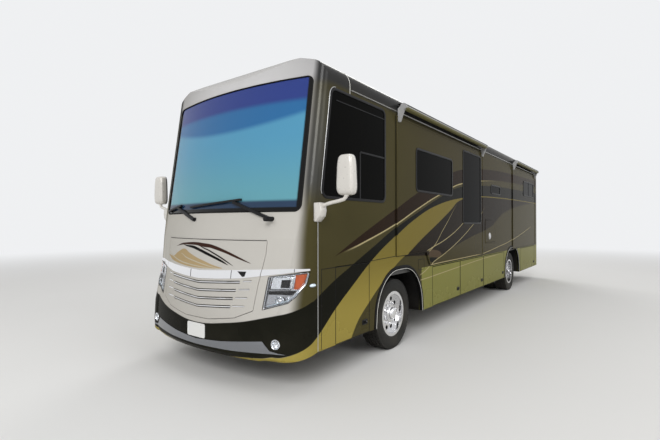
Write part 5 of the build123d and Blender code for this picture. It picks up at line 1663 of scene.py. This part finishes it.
def makeRearLamp(side):
    x0, x1, z0, z1 = rearLamp
    tag = tags[side]
    skin = skinOf("tail_lamps")
    parts = [
        ("Stop", z0 + 0.25, z1 - 0.006, "lampRed"), ("Turn", z0 + 0.13, z0 + 0.246, "lampAmber"),
        ("Reverse", z0 + 0.006, z0 + 0.126, "clearLens")]
    first = None
    for part, low, high, finish in parts:
        outline = boxOutline(x0 + 0.006, x1 - 0.006, low, high, 0.01, 3)
        mid = Vector(((x0 + x1) / 2, (low + high) / 2))
        loops = [[onBack(side * p.x, p.y, h, skin) for p in (mid + (q - mid) * k
            for q in offsetOutline(outline, off))] for off, k, h in ((0, 1, -0.012), (0, 1, -0.002),
            (-0.004, 1, -0.0002), (-0.004, 0.6, -0.0001), (-0.004, 0.15, -0.0001))]
        o = lofted("rearLamp%s_%s" % (part, tag), loops, finish, "coach", "lamp_red", 40)
        first = first or o
    shell = boxOutline(x0, x1, z0, z1, 0.008, 3)
    framed("rearLampBody_" + tag, shell, lambda x, z, h: onBack(side * x, z, h, skin),
        ((-0.001, -0.04), (-0.001, -0.001), (-0.006, -0.001), (-0.007, -0.016)), "lampInside", "coach",
        "black_plastic", False, angle=30)
    return first


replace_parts(makeRearLamp(1), "tail_lamps")
makeRearLamp(-1)

reflector = (0.11, 0.045, 0.012, 0.005, "lampRed", "lamp_red")
marker = (0.09, 0.028, 0.013, 0.006, "lampRed", "lamp_red")
rearParts = [  # name, middle across and up, width, height, corner, how proud, finish, slot
    ("rearPlate", 0.0, 0.545, 0.305, 0.152, 0.02, 0.003, "plateWhite", "bright_trim"),
    ("rearReflectorLeft", 0.98, 0.52, *reflector), ("rearReflectorRight", -0.98, 0.52, *reflector),
    ("rearMarkerMiddle", 0.0, 3.2, *marker),
    ("rearMarkerInnerLeft", 0.23, 3.2, *marker), ("rearMarkerInnerRight", -0.23, 3.2, *marker),
    ("rearMarkerOuterLeft", 1.05, 3.16, *marker), ("rearMarkerOuterRight", -1.05, 3.16, *marker),
    ("rearCamera", 0.0, 3.08, 0.09, 0.055, 0.018, 0.007, "blackPlastic", "black_plastic")]


def makeRearParts():
    skin = skinOf("rear_cap", "engine_door")
    for name, x, z, wide, high, corner, proud, finish, slotName in rearParts:
        outline = plateOutline(x, z, wide, high, corner)
        mid = Vector((x, z))
        loops = [[onBack(q.x, q.y, h, skin) for q in (mid + (p - mid) * k for p in outline)]
            for k, h in ((1.0, -0.004), (1.0, proud * 0.6), (0.94, proud), (0.6, proud), (0.15, proud))]
        lofted(name, loops, finish, "coach", slotName, 35)


makeRearParts()
print("rear done")


# Left hatch, door hardware and awning covers

hatchShape = {
    "y": (3.9, 4.64), "z": (1.26, 1.75), "corner": 0.07, "inlet": (4.211, 1.4),
    "frame": [(0.012, -0.001), (0.011, 0.003), (0.004, 0.005), (-0.004, 0.005), (-0.007, 0.002)],
    "panel": [(-0.011, -0.001), (-0.012, 0.003), (-0.018, 0.0045), (-0.034, 0.0045)],
    "cover": [(0.001, 0.074), (0.007, 0.074), (0.01, 0.07), (0.011, 0.06), (0.017, 0.056), (0.018, 0.05),
        (0.018, 0.014), (0.02, 0.012), (0.02, 0.001)]}


def makeHatch():
    s = hatchShape
    outline = boxOutline(fromAxle(s["y"][0]), fromAxle(s["y"][1]), s["z"][0], s["z"][1], s["corner"], 8)
    framed("hatchFrame", outline, onSide(1), s["frame"], "capPaint", "coach", "side_paint")
    framed("hatchPanel", outline, onSide(1), s["panel"], "capPaint", "coach", "side_paint", False)
    gap = offsetOutline(outline, -0.009)
    bars("hatchGap", [[onSide(1)(p[0], p[1], 0.0005) for p in gap]], 0.0028, *rubberTrim, True)
    y, z = fromAxle(s["inlet"][0]), s["inlet"][1]
    lofted("inletCover", turned([(halfWidth + h, r) for h, r in s["cover"]], (y, z), 32), *silverTrim, first=True)


makeHatch()

doorHardware = {
    "handle": (-0.905, 1.42), "grab": (-0.735, 1.05, 1.95), "light": (-0.64, 2.35),
    # offset outwards or place up, height above the door's face
    "plate": [(0, -0.001), (0, 0.006), (-0.004, 0.009), (-0.014, 0.009), (-0.018, 0.003), (-0.04, 0.003)],
    "pull": [(-0.05, 0.004), (-0.048, 0.018), (-0.03, 0.026), (0.0, 0.028), (0.03, 0.026), (0.048, 0.018),
        (0.05, 0.004)],
    "railEnd": [(0, 0.0), (0, 0.03), (0.012, 0.048), (0.04, 0.056), (0.2, 0.058)],
    "lightBase": [(0, -0.001), (0, 0.012), (-0.004, 0.015), (-0.01, 0.015)],
    "lightLens": [(0, 0.012), (0, 0.022), (-0.006, 0.028), (-0.02, 0.03)]}


def makeDoorHardware():
    s = doorHardware
    y, z = fromAxle(s["handle"][0]), s["handle"][1]
    place = onSide(-1)
    outline = plateOutline(y, z, 0.11, 0.15, 0.02)
    framed("entryHandlePlate", outline, place, s["plate"], "blackPlastic", "entry", "black_plastic", False)
    pull = [place(y - 0.036, z + t, h) for t, h in s["pull"]]
    bars("entryHandle", [pull], 0.008, *doorBright, sides=10)
    bars("entryLocks", [[place(y + 0.024, z + up, h) for h in (0.002, 0.014)] for up in (0.03, -0.03)], 0.012,
        *doorBright, sides=14)
    gy, z0, z1 = fromAxle(s["grab"][0]), s["grab"][1], s["grab"][2]
    end = s["railEnd"]
    rail = [place(gy, z0 + up, h) for up, h in end] + [place(gy, z1 - up, h) for up, h in reversed(end)]
    bars("grabRail", [rail], 0.013, *brightTrim, sides=12)
    bars("grabRailFeet", [[place(gy, z, h) for h in (-0.001, 0.008)] for z in (z0, z1)], 0.026, *brightTrim, sides=18)
    ly, lz = fromAxle(s["light"][0]), s["light"][1]
    outline = plateOutline(ly, lz, 0.18, 0.07, 0.02)
    framed("porchLightBase", outline, place, s["lightBase"], *silverTrim, False)
    framed("porchLightLens", offsetOutline(outline, -0.012), place, s["lightLens"], "lampWhite", "coach",
        "lamp_clear", False)


makeDoorHardware()

rollers = [  # name, side, body, y from the front axle, y
    ("topperLeftFront", 1, "slide_room_left_front", -0.02, 3.67),
    ("topperLeftRear", 1, "slide_room_left_rear", 6.23, 8.9),
    ("patioAwning", -1, "coach", -0.6, 5.4)]
rollerShape = {
    "railX": 1.4125, "railZ": 3.196, "railRadius": 0.009, "thick": 0.0025,
    "cover": [(1.291, 3.262), (1.31, 3.2665), (1.352, 3.2668), (1.384, 3.2668), (1.404, 3.262), (1.417, 3.25),
        (1.4225, 3.232), (1.4225, 3.22)]}


def makeRollerCovers():
    s = rollerShape
    for name, side, body, y0, y1 in rollers:
        ya, yb = fromAxle(y0) + 0.004, fromAxle(y1) - 0.004
        inner = openOffset([Vector(p) for p in s["cover"]], s["thick"])
        shape = s["cover"] + list(reversed(inner))
        lofted(name + "_cover", [[(side * x, y, z) for x, z in shape] for y in (ya, yb)], "rollerMetal", body,
            "bright_trim", 50, first=True)
        bars(name + "_rail", [[(side * s["railX"], y, s["railZ"]) for y in (ya + 0.02, yb - 0.02)]], s["railRadius"],
            "rollerMetal", body, "bright_trim", sides=10)


def coverFinish():
    m, t, shader, place = startMaterial("rollerMetal", Roughness=0.4, Specular_IOR_Level=0.05)
    fine = tinted(t, shader, place, rollerTones(t, split(t, place)["Z"]), 3.0, 0.15)
    bumped(t, shader, fine, 0.03, 0.001)
    return m


finishes["rollerMetal"] = coverFinish()
makeRollerCovers()
print("awnings done")
